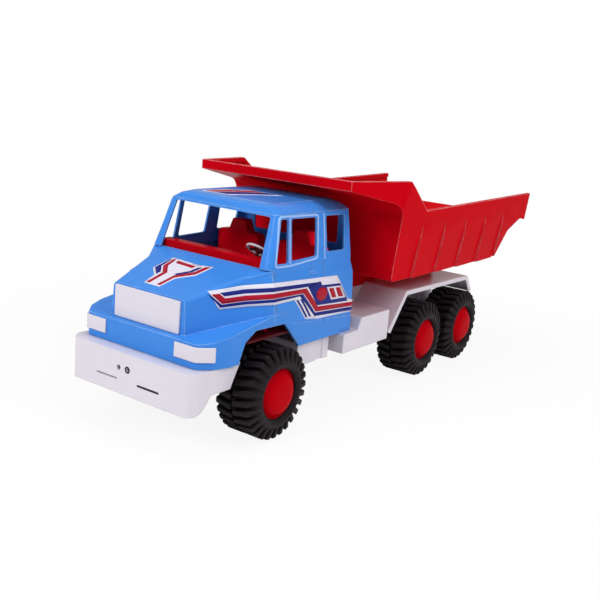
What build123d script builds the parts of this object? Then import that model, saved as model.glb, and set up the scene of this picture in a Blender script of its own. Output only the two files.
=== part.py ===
from build123d import *
import math
import os

# Toy six-wheel dump truck: cab with an open glasshouse, one-piece tipping bed, plastic chassis.
# Millimetres. The front faces -Y, the left side is +X, +Z is up and the floor is z = 0.
# Every y below is measured from the front axle; placed() moves a finished piece into the shared frame.
# Outline corners are (a, b) or (a, b, radius); the radius rounds that corner with an arc.

# Driving sizes
wheel_radius = 50.0
body_half = 93.0
frame_half = 36.0
shell_wall = 2.5
middle_axle_y = 317.5
rear_axle_y = 430.0
side_gap = 0.3
reach = 400.0

# Wheels and axles
tread_inner_x = 60.5
tread_outer_x = 109.0
lug_count = 28
lug_gap = 3.6
lug_depth = 7.0
lug_foot_radius = 34.0
lug_foot_rise = 1.6
lug_side_run = 7.0
shoulder_width = 3.5
sidewall_bulge = 1.5
hub_radius = 27.0
hub_wall = 3.0
hub_edge_x = 109.0
hub_dome = 4.5
hub_rim_width = 2.5
hub_boss_radius = 8.0
axle_radius = 3.0
axle_end_x = 104.0
axle_running_gap = 0.06
axle_ear_half = frame_half + 8.0
hub_boss_inner_x = axle_ear_half + 1.0

# Chassis frame
frame_wall = 3.0
frame_bottom_z = 66.0
frame_front_y = -95.0
frame_front_top_z = 106.0
frame_step_y = 156.0
frame_step_run = 8.0
frame_rear_top_z = 118.0
frame_rear_y = 466.0
frame_ribs_y = (60.0, 158.0, 250.0, 374.0)
axle_ear_radius = 10.0
axle_ear_top_z = frame_bottom_z + 20.0

# Bumper
bumper_front_y = -113.0
bumper_side_half = body_half - 5.0
bumper_front_half = bumper_side_half - 8.0
bumper_corner_run = 11.0
bumper_corner_round = 7.0
bumper_bottom_z = 45.5
bumper_step_z = 64.0
bumper_top_z = 89.5
bumper_rear_y = -44.0
bumper_rear_foot_y = -57.5
bumper_lower_rear_y = -86.0
bumper_wall = 3.0
bumper_shelf = 14.0
string_hole_radius = 2.0
string_hole_spacing = 12.5
string_hole_middle_x = -6.25
string_hole_z = 73.0
slot_length = 30.0
slot_height = 1.6
slot_middle_x = 29.5
slot_z = 60.5

# Hood and front fenders
body_bottom_z = 89.8
apron_y = -98.0
apron_half = body_half - 16.0
apron_round = 9.0
fender_turn_half = body_half - 5.0
fender_turn_y = -85.0
fender_side_y = -68.0
fender_front_z = 114.0
fender_edge_round = 4.0
nose_y = -88.5
nose_top_half = 50.0
nose_base_half = 52.5
nose_top_z = 151.5
nose_base_z = 110.0
hood_edge_round = 5.0
hood_rear_y = 2.0
hood_rear_half = body_half - 19.0
hood_rear_base_z = 131.0
hood_base_half = body_half - 1.7
pillar_root_y = -24.0
pillar_root_shares = (0.0, 0.03, 0.12, 0.36, 1.0)
crease_z = 134.0
belt_z = 176.5
arch_profile = ((-52.0, 60.0), (-52.0, 92.0), (-44.0, 111.0, 4.0), (-28.0, 120.5, 4.0), (20.0, 119.5, 4.0),
                (46.6, 92.0), (46.6, 60.0))

# Cabin: the door skin lies a little inside the fender flare
door_half = body_half - 1.2
cab_rear_y = 154.0
belt_half = body_half - 8.5
belt_round_z = 172.0
waist_z = 160.0
waist_half = body_half - 3.5
windscreen_foot_y = -3.0
header_z = 231.0
header_y = 16.0
header_half = body_half - 16.0
header_rear_y = 152.0
glass_corner_round = 7.0
roof_edge_z = 237.0
roof_edge_y = 19.2
roof_edge_half = body_half - 26.0
roof_edge_rear_y = 149.0
roof_top_z = 240.5
roof_top_y = 28.0
roof_top_half = body_half - 36.0
roof_top_rear_y = 142.0
windscreen_foot_half = body_half - 22.0
windscreen_top_half = body_half - 26.0
windscreen_top_z = 228.5
rear_window_half = body_half - 31.0
rear_window_low_z = 188.0
rear_window_top_z = 221.0
window_round = 3.0
quarter_window = ((9.5, 181.9), (29.0, 181.0), (32.2, 226.5), (20.0, 227.3))
door_window = ((35.5, 182.6), (80.5, 184.0), (83.3, 225.6), (37.7, 226.7))
rear_side_window = ((101.5, 186.6), (135.5, 185.8), (138.0, 225.4), (101.0, 225.9))
flare_outline = ((hood_rear_y, 131.0), (23.0, 132.2, 4.0), (34.0, 117.0, 5.0), (cab_rear_y, 107.6))
door_seams_y = (5.0, 93.0)
seam_width = 1.2
seam_depth = 0.8
handle_y = 72.7
handle_z = 167.5
handle_length = 13.0
handle_height = 3.2
handle_proud = 1.6

# Grille and headlamps
grille_half = 45.5
grille_bottom_z = 116.5
grille_top_z = 150.0
grille_depth = 2.5
lamp_inner_x = body_half - 44.0
lamp_bottom_z = 97.5
lamp_top_z = 112.5
lamp_proud = 1.8
lamp_round = 5.0
lamp_rear_y = -84.0

# Cab interior
floor_bottom_z = frame_front_top_z + side_gap
floor_wall = 3.0
floor_front_y = -36.0
dash_front_y = 4.2
dash_half = belt_half - 5.5
dash_depth = 15.0
dash_foot_depth = 4.0
dash_bulge = 7.0
dash_bulge_z = 174.0
dash_knee_z = 152.0
dash_top_z = 184.0
seat_x = body_half * 0.495
seat_half = body_half / 3.0
seat_front_y = 62.0
seat_back_y = 100.0
seat_rear_y = 115.0
seat_cushion_z = 146.0
seat_shoulder_z = 189.0
seat_shoulder_round = 5.0
headrest_half = seat_half * 0.3
headrest_foot_half = seat_half * 0.48
headrest_top_z = 204.0
steering_x = body_half * 0.4624
steering_y = 30.0
steering_z = 188.0
steering_ring_radius = 13.5
steering_ring_width = 2.6
steering_column_length = 25.0
steering_column_radius = 2.2
steering_tilt = -35.0

# Side tanks and rear fenders
sill_box_half = body_half - 8.0
sill_box_front_y = 58.0
sill_box_rear_y = 119.0
sill_box_bottom_z = 61.0
sill_box_top_z = 88.6
sill_recess_front_y = 94.6
sill_recess_rear_y = 106.8
sill_recess_depth = 2.0
sill_box_wall = 4.0
tank_half = body_half + 7.0
tank_wall = 3.0
tank_front_y = 127.0
tank_step_y = 163.0
tank_rear_y = 228.0
tank_bottom_z = 66.0
tank_step_z = 89.5
tank_top_z = 104.0
tank_round = 4.0
fender_half = body_half + 7.0
fender_wall = 3.0
fender_lip = 3.0
fender_lip_width = 2.5
fender_bend = 6.0
fender_front_foot = (228.6, 74.0)
fender_front_bend = (267.0, 122.0)
fender_rear_bend = (446.0, 120.0)
fender_rear_foot = (464.0, 96.0)

# Tipping bed
bed_wall = 3.0
bed_bottom_z = 147.0
bed_bottom_half = 119.0
bed_rim_half = 126.0
bed_rim_z = 233.0
bed_front_y = 188.5
bed_foot_round = 6.0
bed_corner_round = 9.0
bed_tail_start_y = 478.0
bed_tail_start_round = 16.0
bed_tail_bend_y = 513.0
bed_tail_bend_z = 184.0
bed_tail_bend_round = 12.0
bed_crest_y = 556.0
bed_crest_z = 199.5
bed_crest_round = 8.0
bed_lip_y = 573.0
bed_lip_z = 196.5
rail_front_y = 247.0
rail_front_z = 229.5
rail_rear_z = 236.5
rail_width = 5.0
rail_depth = 6.0
cheek_rear_y = 197.0
cheek_rear_z = 266.8
cheek_round = 4.0
canopy_front_y = 99.5
canopy_front_half = 108.5
canopy_cheek_half = 128.0
canopy_top_z = 267.6
canopy_front_under_z = 256.5
canopy_rear_under_z = 238.0
canopy_bend_round = 20.0
canopy_lip = 4.5

# Saw-tooth side panels: each starts proud of the wall at its front edge and runs back into it
panel_first_y = 234.0
panel_pitch = 61.0
panel_count = 5
panel_proud = 2.6
panel_height = 68.0
panel_fade = 24.0
panel_lean = 10.0
panel_root = 1.0

# Beams under the bed, and the hinge
beam_width = 7.0
beam_outer_x = frame_half - 0.6
beam_inner_x = beam_outer_x - beam_width
beam_front_y = 202.0
beam_rest_gap = 0.4
hinge_y = 455.0
hinge_z = 130.0
hinge_pin_radius = 4.0
hinge_pin_half = beam_outer_x + 3.0
hinge_eye_radius = 9.5
hinge_ear_outer_x = beam_inner_x - 0.6
hinge_ear_inner_x = hinge_ear_outer_x - 8.4

# The middle of the truck's length becomes y = 0
middle_y = (bumper_front_y + bed_lip_y) / 2


def placed(shape):
    return Pos(0, -middle_y, 0) * shape


def outline(corners):
    """Flat face from its corners, with an arc at each corner that has a radius."""
    points = [Vector(corner[0], corner[1]) for corner in corners]
    arrivals = []
    leavings = []
    edges = []
    for index, (point, corner) in enumerate(zip(points, corners)):
        radius = corner[2] if len(corner) > 2 else 0.0
        if radius == 0.0:
            arrivals.append(point)
            leavings.append(point)
            continue
        before = (points[index - 1] - point).normalized()
        after = (points[(index + 1) % len(points)] - point).normalized()
        half_angle = math.acos(before.dot(after)) / 2
        run = radius / math.tan(half_angle)
        bisector = (before + after).normalized()
        middle = point + bisector * (radius / math.sin(half_angle) - radius)
        arrivals.append(point + before * run)
        leavings.append(point + after * run)
        edges.append(Edge.make_three_point_arc(arrivals[-1], middle, leavings[-1]))
    for index, start in enumerate(leavings):
        end = arrivals[(index + 1) % len(arrivals)]
        edges.append(Edge.make_line(start, end))
    return Face(Wire(edges))


def side_prism(corners, x_low, x_high):
    """Solid with a (y, z) outline between two x values."""
    return extrude(Plane.YZ.offset(x_low) * outline(corners), amount=x_high - x_low, dir=(1, 0, 0))


def front_prism(corners, y_low, y_high):
    """Solid with an (x, z) outline between two y values."""
    plane = Plane((0, y_low, 0), x_dir=(1, 0, 0), z_dir=(0, -1, 0))
    return extrude(plane * outline(corners), amount=y_high - y_low, dir=(0, 1, 0))


def plan_prism(corners, z_low, z_high):
    """Solid with an (x, y) outline between two z values."""
    return extrude(Plane.XY.offset(z_low) * outline(corners), amount=z_high - z_low, dir=(0, 0, 1))


def block(x_low, x_high, y_low, y_high, z_low, z_high):
    middle = Pos((x_low + x_high) / 2, (y_low + y_high) / 2, (z_low + z_high) / 2)
    return middle * Box(x_high - x_low, y_high - y_low, z_high - z_low)


def rod_x(radius, x_low, x_high, y, z):
    return Pos((x_low + x_high) / 2, y, z) * Rot(0, 90, 0) * Cylinder(radius, x_high - x_low)


def mirrored(corners):
    """Close a half outline given on the +X side by its copy on the -X side."""
    return tuple(corners) + tuple((-corner[0],) + tuple(corner[1:]) for corner in reversed(corners))


def section_at_y(y, corners):
    return Plane((0, y, 0), x_dir=(1, 0, 0), z_dir=(0, -1, 0)) * outline(corners)


def rectangle_at_z(z, half, y_low, y_high, radius=0.0):
    corners = ((-half, y_low, radius), (half, y_low, radius), (half, y_high, radius), (-half, y_high, radius))
    return Plane.XY.offset(z) * outline(corners)


def sided(piece, side):
    return piece if side > 0 else mirror(piece, Plane.YZ)


# Tyre and hub, both made about the X axis with the outer side at +X
def ring_slab(rows):
    """Many-sided barrel from (x, radius) rows; one flat lies between each pair of lug gaps."""
    slab = None
    for (low_x, low_radius), (high_x, high_radius) in zip(rows, rows[1:]):
        face = Plane.YZ.offset(low_x) * Rot(0, 0, 180.0 / lug_count) * RegularPolygon(
            low_radius, lug_count, major_radius=False)
        taper = math.degrees(math.atan2(low_radius - high_radius, high_x - low_x))
        piece = extrude(face, amount=high_x - low_x, taper=taper)
        slab = piece if slab is None else slab + piece
    return slab


def tyre():
    lug_root = wheel_radius - lug_depth
    barrel = ring_slab((
        (tread_inner_x, lug_root - 1.0),
        (tread_inner_x + shoulder_width, wheel_radius),
        (tread_outer_x - shoulder_width, wheel_radius),
        (tread_outer_x + sidewall_bulge, lug_foot_radius),
    ))
    barrel -= ring_slab(((tread_inner_x - 10.0, hub_radius), (tread_outer_x + 10.0, hub_radius)))
    edge_x = tread_outer_x + sidewall_bulge + 1.0
    groove = front_prism((
        (tread_inner_x - 1.0, lug_root), (tread_outer_x - lug_side_run, lug_root),
        (edge_x, lug_foot_radius + lug_foot_rise), (edge_x, wheel_radius + 3.0),
        (tread_inner_x - 1.0, wheel_radius + 3.0)), -lug_gap / 2, lug_gap / 2)
    return barrel - [Rot((index + 0.5) * 360.0 / lug_count, 0, 0) * groove for index in range(lug_count)]


def hub():
    face_x = hub_edge_x + hub_dome
    rim_radius = hub_radius - hub_rim_width
    back_x = hub_edge_x - hub_wall
    inner_x = tread_inner_x + 6.0
    profile = outline((
        (inner_x, hub_radius), (hub_edge_x, hub_radius), (hub_edge_x, rim_radius),
        (hub_edge_x + hub_dome * 0.6, rim_radius - 2.0, 1.5), (face_x, hub_radius * 0.4), (face_x, 0.0),
        (axle_end_x, 0.0), (axle_end_x, axle_radius), (hub_boss_inner_x, axle_radius),
        (hub_boss_inner_x, hub_boss_radius), (back_x, hub_boss_radius), (back_x, hub_radius - hub_wall),
        (inner_x, hub_radius - hub_wall)))
    return revolve(Plane.XZ * profile, axis=Axis.X)


# Chassis
def chassis_frame():
    low = frame_bottom_z - 1.0
    step_top_y = frame_step_y + frame_step_run
    outer = side_prism((
        (frame_front_y, frame_bottom_z), (frame_rear_y, frame_bottom_z), (frame_rear_y, frame_rear_top_z),
        (step_top_y, frame_rear_top_z), (frame_step_y, frame_front_top_z),
        (frame_front_y, frame_front_top_z)), -frame_half, frame_half)
    inner = side_prism((
        (frame_front_y + frame_wall, low), (frame_rear_y - frame_wall, low),
        (frame_rear_y - frame_wall, frame_rear_top_z - frame_wall),
        (step_top_y + 1.0, frame_rear_top_z - frame_wall), (frame_step_y + 1.0, frame_front_top_z - frame_wall),
        (frame_front_y + frame_wall, frame_front_top_z - frame_wall)), -frame_half + frame_wall,
        frame_half - frame_wall)
    frame = outer - inner
    for rib_y in frame_ribs_y:
        frame += block(-frame_half + 1.0, frame_half - 1.0, rib_y, rib_y + frame_wall, frame_bottom_z,
                       frame_front_top_z - 1.0)
    for axle_y in (0.0, middle_axle_y, rear_axle_y):
        for side in (-1, 1):
            low_x, high_x = sorted((side * (frame_half - frame_wall), side * axle_ear_half))
            ear = block(low_x, high_x, axle_y - axle_ear_radius, axle_y + axle_ear_radius, wheel_radius,
                        axle_ear_top_z)
            frame += ear + rod_x(axle_ear_radius, low_x, high_x, axle_y, wheel_radius)
        frame -= rod_x(axle_radius + axle_running_gap, -axle_ear_half - 1, axle_ear_half + 1, axle_y, wheel_radius)
    for side in (-1, 1):
        low_x, high_x = sorted((side * hinge_ear_inner_x, side * hinge_ear_outer_x))
        frame += block(low_x, high_x, hinge_y - hinge_eye_radius, hinge_y + hinge_eye_radius,
                       frame_rear_top_z - frame_wall, hinge_z)
        frame += rod_x(hinge_eye_radius, low_x, high_x, hinge_y, hinge_z)
    frame -= rod_x(hinge_pin_radius + axle_running_gap, -hinge_ear_outer_x - 1, hinge_ear_outer_x + 1, hinge_y,
                   hinge_z)
    return frame


def bumper_plan(inset):
    corner = bumper_corner_round - inset
    return mirrored((
        (bumper_front_half - inset * 0.8, bumper_front_y + inset, corner),
        (bumper_side_half - inset, bumper_front_y + bumper_corner_run + inset * 0.6, corner),
        (bumper_side_half - inset, bumper_rear_y + (1.0 if inset else 0.0)),
    ))


def front_bumper():
    outer = plan_prism(bumper_plan(0.0), bumper_bottom_z, bumper_top_z)
    inner = plan_prism(bumper_plan(bumper_wall), bumper_bottom_z - 1.0, bumper_top_z - bumper_wall)
    bumper = outer - inner
    bumper -= block(-bumper_side_half + bumper_shelf, bumper_side_half - bumper_shelf, frame_front_y, 0.0,
                    bumper_top_z - bumper_wall - 0.5, bumper_top_z + 1.0)
    bumper += block(-bumper_side_half + 2.0, bumper_side_half - 2.0, frame_front_y - bumper_wall, frame_front_y,
                    bumper_bottom_z, bumper_top_z - 1.0)
    bumper -= side_prism((
        (bumper_rear_foot_y, bumper_bottom_z - 5.0), (bumper_rear_foot_y, bumper_step_z),
        (bumper_rear_y, bumper_top_z), (bumper_rear_y, bumper_top_z + 5.0), (reach, bumper_top_z + 5.0),
        (reach, bumper_bottom_z - 5.0)), -reach, reach)
    for side in (-1, 1):
        low_x, high_x = sorted((side * bumper_front_half * 0.75, side * reach))
        bumper -= side_prism((
            (bumper_lower_rear_y - 22.0, bumper_bottom_z - 1.0), (reach, bumper_bottom_z - 1.0),
            (reach, bumper_step_z), (bumper_lower_rear_y + 1.0, bumper_step_z),
            (bumper_lower_rear_y - 2.4, bumper_step_z - 2.8),
            (bumper_lower_rear_y - 5.6, bumper_bottom_z + 11.2),
            (bumper_lower_rear_y - 11.5, bumper_bottom_z + 5.4)), low_x, high_x)
        slot_x = side * slot_middle_x
        bumper -= block(slot_x - slot_length / 2, slot_x + slot_length / 2, bumper_front_y - 1.0,
                        bumper_front_y + bumper_wall + 0.5, slot_z - slot_height / 2, slot_z + slot_height / 2)
        bumper -= Pos(string_hole_middle_x + side * string_hole_spacing / 2, bumper_front_y + bumper_wall / 2,
                      string_hole_z) * Rot(90, 0, 0) * Cylinder(string_hole_radius, bumper_wall + 4.0)
    return bumper


# Front body
def fender_plan(inset):
    return mirrored((
        (apron_half - inset * 0.5, apron_y + inset, apron_round),
        (fender_turn_half - inset * 0.9, fender_turn_y + inset * 0.4, apron_round),
        (body_half - inset, fender_side_y, apron_round),
        (body_half - inset, hood_rear_y + (1.0 if inset else 0.0)),
    ))


def fender_body(inset, low_z):
    """Lower front body: the fenders with the apron between them."""
    profile = side_prism((
        (apron_y - 5.0, low_z), (apron_y - 5.0, fender_front_z - inset), (nose_y, fender_front_z + 2.5 - inset),
        (hood_rear_y + 2.0, crease_z - 1.8 - inset), (hood_rear_y + 2.0, low_z)), -reach, reach)
    return profile & plan_prism(fender_plan(inset), low_z, belt_z)


def hood_body(inset, low_z):
    edge = hood_edge_round - inset
    front = section_at_y(nose_y + inset, mirrored((
        (nose_top_half - inset, nose_top_z - inset, edge), (nose_base_half - inset, nose_base_z),
        (nose_base_half - inset, low_z))))
    rear = section_at_y(hood_rear_y, mirrored((
        (hood_rear_half - inset, belt_z - inset, edge), (hood_base_half - inset, hood_rear_base_z),
        (hood_base_half - inset, low_z))))
    return loft([front, rear], ruled=True)


def hood_side_point(y, share, inset):
    """Point on the hood's flat side at y: share 0 is its top edge and share 1 its foot."""
    run = (y - nose_y) / (hood_rear_y - nose_y)
    top_x = nose_top_half + (hood_rear_half - nose_top_half) * run
    foot_x = nose_base_half + (hood_base_half - nose_base_half) * run
    top_z = nose_top_z + (belt_z - nose_top_z) * run
    foot_z = nose_base_z + (hood_rear_base_z - nose_base_z) * run
    return (top_x + (foot_x - top_x) * share - inset, top_z + (foot_z - top_z) * share - inset * (1.0 - share))


def pillar_root(inset, low_z):
    """The hood's rear corners swell into the outline of the doors, under the windscreen pillars."""
    flat = tuple(hood_side_point(pillar_root_y, share, inset + 0.3) for share in pillar_root_shares)
    front = section_at_y(pillar_root_y, mirrored(flat + ((flat[-1][0], low_z),)))
    rear = section_at_y(hood_rear_y, mirrored((
        (hood_rear_half - inset, belt_z - inset), (belt_half - inset, belt_z - inset - 0.2),
        (belt_half - inset, belt_round_z - inset / 2), (waist_half - inset, waist_z),
        (hood_base_half - inset, hood_rear_base_z), (hood_base_half - inset, low_z))))
    return loft([front, rear], ruled=True)


def hood_shell():
    low = body_bottom_z - 2.0
    outer = fender_body(0.0, body_bottom_z) + hood_body(0.0, body_bottom_z + 8.0)
    outer += pillar_root(0.0, body_bottom_z + 8.0)
    shell = outer - fender_body(shell_wall, low) - hood_body(shell_wall, low) - pillar_root(shell_wall, low)
    shell -= block(-body_half + shell_wall, body_half - shell_wall, floor_front_y + 6.0, hood_rear_y + 1.0, low,
                   crease_z - 8.0)
    shell -= side_prism(arch_profile, -reach, reach)
    return shell & block(-reach, reach, -reach, hood_rear_y, 0, belt_z)


# Cabin
def cabin_section(inset, low_z):
    half = door_half - inset
    return mirrored((
        (half, low_z), (half, crease_z, 4.0), (waist_half - inset, waist_z),
        (belt_half - inset, belt_round_z, 5.0), (belt_half - inset, belt_z),
    ))


def glasshouse(inset):
    corner = glass_corner_round - inset
    return loft([
        rectangle_at_z(belt_z, belt_half - inset, windscreen_foot_y + inset, cab_rear_y - inset, corner),
        rectangle_at_z(header_z, header_half - inset, header_y + inset, header_rear_y - inset, corner)], ruled=True)


def cab_shell():
    lower = front_prism(cabin_section(0.0, body_bottom_z), hood_rear_y, cab_rear_y)
    flare_corners = flare_outline + ((cab_rear_y, body_bottom_z), (hood_rear_y, body_bottom_z))
    for side in (-1, 1):
        low_x, high_x = sorted((side * (door_half - 1.0), side * body_half))
        lower += side_prism(flare_corners, low_x, high_x)
    lower -= front_prism(cabin_section(shell_wall, body_bottom_z - 2.0), hood_rear_y - 1.0, cab_rear_y - shell_wall)
    cab = lower + (glasshouse(0.0) - glasshouse(shell_wall))
    for corners in (quarter_window, door_window, rear_side_window):
        cab -= side_prism(tuple((y, z, window_round) for y, z in corners), -reach, reach)
    cab -= front_prism(mirrored((
        (windscreen_top_half, windscreen_top_z, window_round), (windscreen_foot_half, belt_z - 0.01))),
        windscreen_foot_y - 8.0, header_y + 8.0)
    cab -= front_prism(mirrored((
        (rear_window_half, rear_window_low_z, window_round), (rear_window_half, rear_window_top_z, window_round))),
        cab_rear_y - 10.0, cab_rear_y + 5.0)
    cab -= side_prism(arch_profile, -reach, reach)
    cab -= block(-frame_half - side_gap, frame_half + side_gap, cab_rear_y - 10.0, cab_rear_y + 5.0, 0.0,
                 frame_front_top_z + side_gap)
    for seam_y in door_seams_y:
        slab = front_prism(cabin_section(-5.0, flare_seam_z(seam_y)), seam_y - seam_width / 2,
                           seam_y + seam_width / 2)
        core = front_prism(cabin_section(seam_depth, 0.0), seam_y - seam_width, seam_y + seam_width)
        cab -= slab - core
    handle = block(-reach, reach, handle_y - handle_length / 2, handle_y + handle_length / 2,
                   handle_z - handle_height / 2, handle_z + handle_height / 2)
    skin = front_prism(cabin_section(-handle_proud, 0.0), hood_rear_y, cab_rear_y)
    skin -= front_prism(cabin_section(shell_wall / 2, -1.0), hood_rear_y - 1.0, cab_rear_y + 1.0)
    return cab + (handle & skin)


def flare_seam_z(seam_y):
    """Lowest point of a door seam: just above the fender flare at that place."""
    return (crease_z if seam_y < arch_profile[-1][0] else body_bottom_z + 20.0) - 1.0


def cab_roof():
    def stack(inset, top_drop):
        corner = glass_corner_round - inset
        low = rectangle_at_z(header_z, header_half - inset, header_y + inset, header_rear_y - inset, corner)
        edge = rectangle_at_z(roof_edge_z - top_drop, roof_edge_half - inset, roof_edge_y + inset,
                              roof_edge_rear_y - inset, corner)
        top = rectangle_at_z(roof_top_z - top_drop, roof_top_half - inset, roof_top_y + inset,
                             roof_top_rear_y - inset, corner)
        return loft([low, edge], ruled=True) + loft([edge, top], ruled=True)
    return stack(0.0, 0.0) - stack(shell_wall, shell_wall)


def grille_panel():
    return front_prism(mirrored((
        (grille_half, grille_bottom_z, 1.5), (grille_half, grille_top_z, 1.5))), nose_y - grille_depth, nose_y)


def headlamp(side):
    outer = plan_prism((
        (lamp_inner_x, apron_y - lamp_proud), (apron_half + 0.5, apron_y - lamp_proud, lamp_round),
        (fender_turn_half + 2.0, fender_turn_y - 1.0), (fender_turn_half + 2.0, lamp_rear_y + 4.0),
        (lamp_inner_x, lamp_rear_y + 4.0)), lamp_bottom_z, lamp_top_z)
    lamp = outer - fender_body(0.0, body_bottom_z) - block(0, reach, lamp_rear_y, reach, 0, reach)
    return sided(lamp, side)


# Cab interior
def interior_floor():
    half = door_half - shell_wall - side_gap
    return block(-half, half, floor_front_y, cab_rear_y - shell_wall - side_gap, floor_bottom_z,
                 floor_bottom_z + floor_wall)


def dashboard():
    low = floor_bottom_z + floor_wall
    foot_y = dash_front_y + dash_foot_depth
    rear_y = dash_front_y + dash_depth
    profile = (
        (dash_front_y, low), (foot_y, low), (foot_y, dash_knee_z - 6.0), (rear_y + 3.0, dash_knee_z, 3.0),
        (rear_y + dash_bulge, dash_bulge_z, 3.0), (rear_y, dash_top_z, 2.0), (dash_front_y, dash_top_z))
    return side_prism(profile, -dash_half, dash_half)


def seat(side):
    low = floor_bottom_z + floor_wall
    middle = side * seat_x
    cushion = side_prism((
        (seat_front_y, low), (seat_rear_y, low), (seat_rear_y, seat_cushion_z), (seat_front_y, seat_cushion_z, 6.0),
    ), middle - seat_half, middle + seat_half)
    back = front_prism(tuple((middle + corner[0],) + tuple(corner[1:]) for corner in mirrored((
        (seat_half, seat_cushion_z - 1.0), (seat_half, seat_shoulder_z, seat_shoulder_round),
        (headrest_foot_half, seat_shoulder_z + 1.0, 2.0), (headrest_half, headrest_top_z, 3.0)))),
        seat_back_y, seat_rear_y)
    return cushion + back


def steering_wheel():
    width = steering_ring_width
    ring = Cylinder(steering_ring_radius + width / 2, width) - Cylinder(steering_ring_radius - width / 2, 2 * width)
    spoke = Box(2 * steering_ring_radius, 3.0, 1.6)
    boss = Cylinder(4.0, 4.0)
    column = Pos(0, 0, -steering_column_length / 2) * Cylinder(steering_column_radius, steering_column_length)
    wheel = ring + spoke + Rot(0, 0, 90) * spoke + boss + column
    return Pos(steering_x, steering_y, steering_z) * Rot(steering_tilt, 0, 0) * wheel - dashboard()


# Chassis sides
def sill_box(side):
    """Open-bottomed box under the door, with an upright recess in its outer face."""
    wall = sill_box_wall
    box = block(frame_half, sill_box_half, sill_box_front_y, sill_box_rear_y, sill_box_bottom_z, sill_box_top_z)
    box -= block(frame_half + wall, sill_box_half - wall, sill_box_front_y + wall, sill_box_rear_y - wall,
                 sill_box_bottom_z - 1.0, sill_box_top_z - wall)
    box -= block(sill_box_half - sill_recess_depth, sill_box_half + 1.0, sill_recess_front_y,
                 sill_recess_rear_y, sill_box_bottom_z - 1.0, sill_box_top_z + 1.0)
    return sided(box, side)


def side_tank(side):
    wall = tank_wall
    outer = side_prism((
        (tank_front_y, tank_bottom_z), (tank_rear_y, tank_bottom_z), (tank_rear_y, tank_top_z),
        (tank_step_y, tank_top_z, tank_round), (tank_step_y - 6.0, tank_step_z, tank_round),
        (tank_front_y, tank_step_z, tank_round)), frame_half, tank_half)
    hollow = side_prism((
        (tank_front_y + wall, tank_bottom_z - 1), (tank_rear_y - wall, tank_bottom_z - 1),
        (tank_rear_y - wall, tank_top_z - wall), (tank_step_y + 2.0, tank_top_z - wall),
        (tank_step_y - 4.0, tank_step_z - wall), (tank_front_y + wall, tank_step_z - wall)),
        frame_half + wall, tank_half - wall)
    return sided(outer - hollow, side)


def fender_band(depth):
    """Outline of the rear fender's strip, depth thick, under its own top line."""
    (front_y, front_z), (bend_y, bend_z) = fender_front_foot, fender_front_bend
    (rear_bend_y, rear_bend_z), (rear_y, rear_z) = fender_rear_bend, fender_rear_foot
    slant = depth * 1.2
    return (
        (front_y, front_z), (bend_y, bend_z, fender_bend), (rear_bend_y, rear_bend_z, fender_bend),
        (rear_y, rear_z), (rear_y - slant * 0.95, rear_z - slant * 0.35),
        (rear_bend_y - depth * 0.55, rear_bend_z - depth, fender_bend - 1.0),
        (bend_y + depth * 0.55, bend_z - depth, fender_bend - 1.0), (front_y + slant, front_z - slant * 0.35))


def rear_fender(side):
    fender = side_prism(fender_band(fender_wall), frame_half, fender_half)
    fender += side_prism(fender_band(2 * fender_wall), fender_half - fender_lip_width, fender_half)
    web_z = fender_rear_bend[1] - 1.0
    fender += block(frame_half, frame_half + fender_wall, fender_front_bend[0] + 2.0, fender_rear_bend[0] - 3.0,
                    frame_rear_top_z - 22.0, web_z)
    return sided(fender, side)


# Tipping bed
def wall_half(z):
    """Half width of the bed at a height: the walls lean outwards."""
    return bed_bottom_half + (z - bed_bottom_z) * (bed_rim_half - bed_bottom_half) / (bed_rim_z - bed_bottom_z)


def bed_envelope(inset, profile):
    low_z = bed_bottom_z - 40.0
    high_z = canopy_top_z + 40.0
    far = 20.0
    walls = front_prism(mirrored((
        (wall_half(low_z) - inset, low_z), (wall_half(high_z) - inset, high_z))), canopy_front_y - 2 * far,
        bed_lip_y + 2 * far)
    plan = plan_prism(mirrored((
        (canopy_front_half - inset, canopy_front_y - far), (canopy_front_half - inset, canopy_front_y),
        (canopy_cheek_half - inset, cheek_rear_y), (canopy_cheek_half - inset, bed_lip_y + far))), 0.0, high_z)
    return side_prism(profile, -reach, reach) & walls & plan


def panel_limits():
    """Outline that lets the side panels fade into the wall at their tops."""
    top_z = bed_bottom_z + panel_height
    fade_z = top_z - panel_fade
    return front_prism(mirrored((
        (wall_half(bed_bottom_z) + panel_proud, bed_bottom_z), (wall_half(fade_z) + panel_proud, fade_z),
        (wall_half(top_z) + 0.05, top_z))), panel_first_y - panel_pitch, bed_lip_y)


def side_panel(index, side):
    """One saw-tooth panel, swept up along the leaning wall."""
    front = panel_first_y + index * panel_pitch
    rear = front + panel_pitch
    half = wall_half(bed_bottom_z)
    face = Plane.XY.offset(bed_bottom_z) * outline((
        (half - panel_root, front), (half + panel_proud, front), (half, rear), (half - panel_root, rear)))
    sweep = Vector(wall_half(bed_bottom_z + panel_height) - half, panel_lean, panel_height)
    return sided(extrude(face, amount=sweep.length, dir=sweep.normalized()), side)


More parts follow.
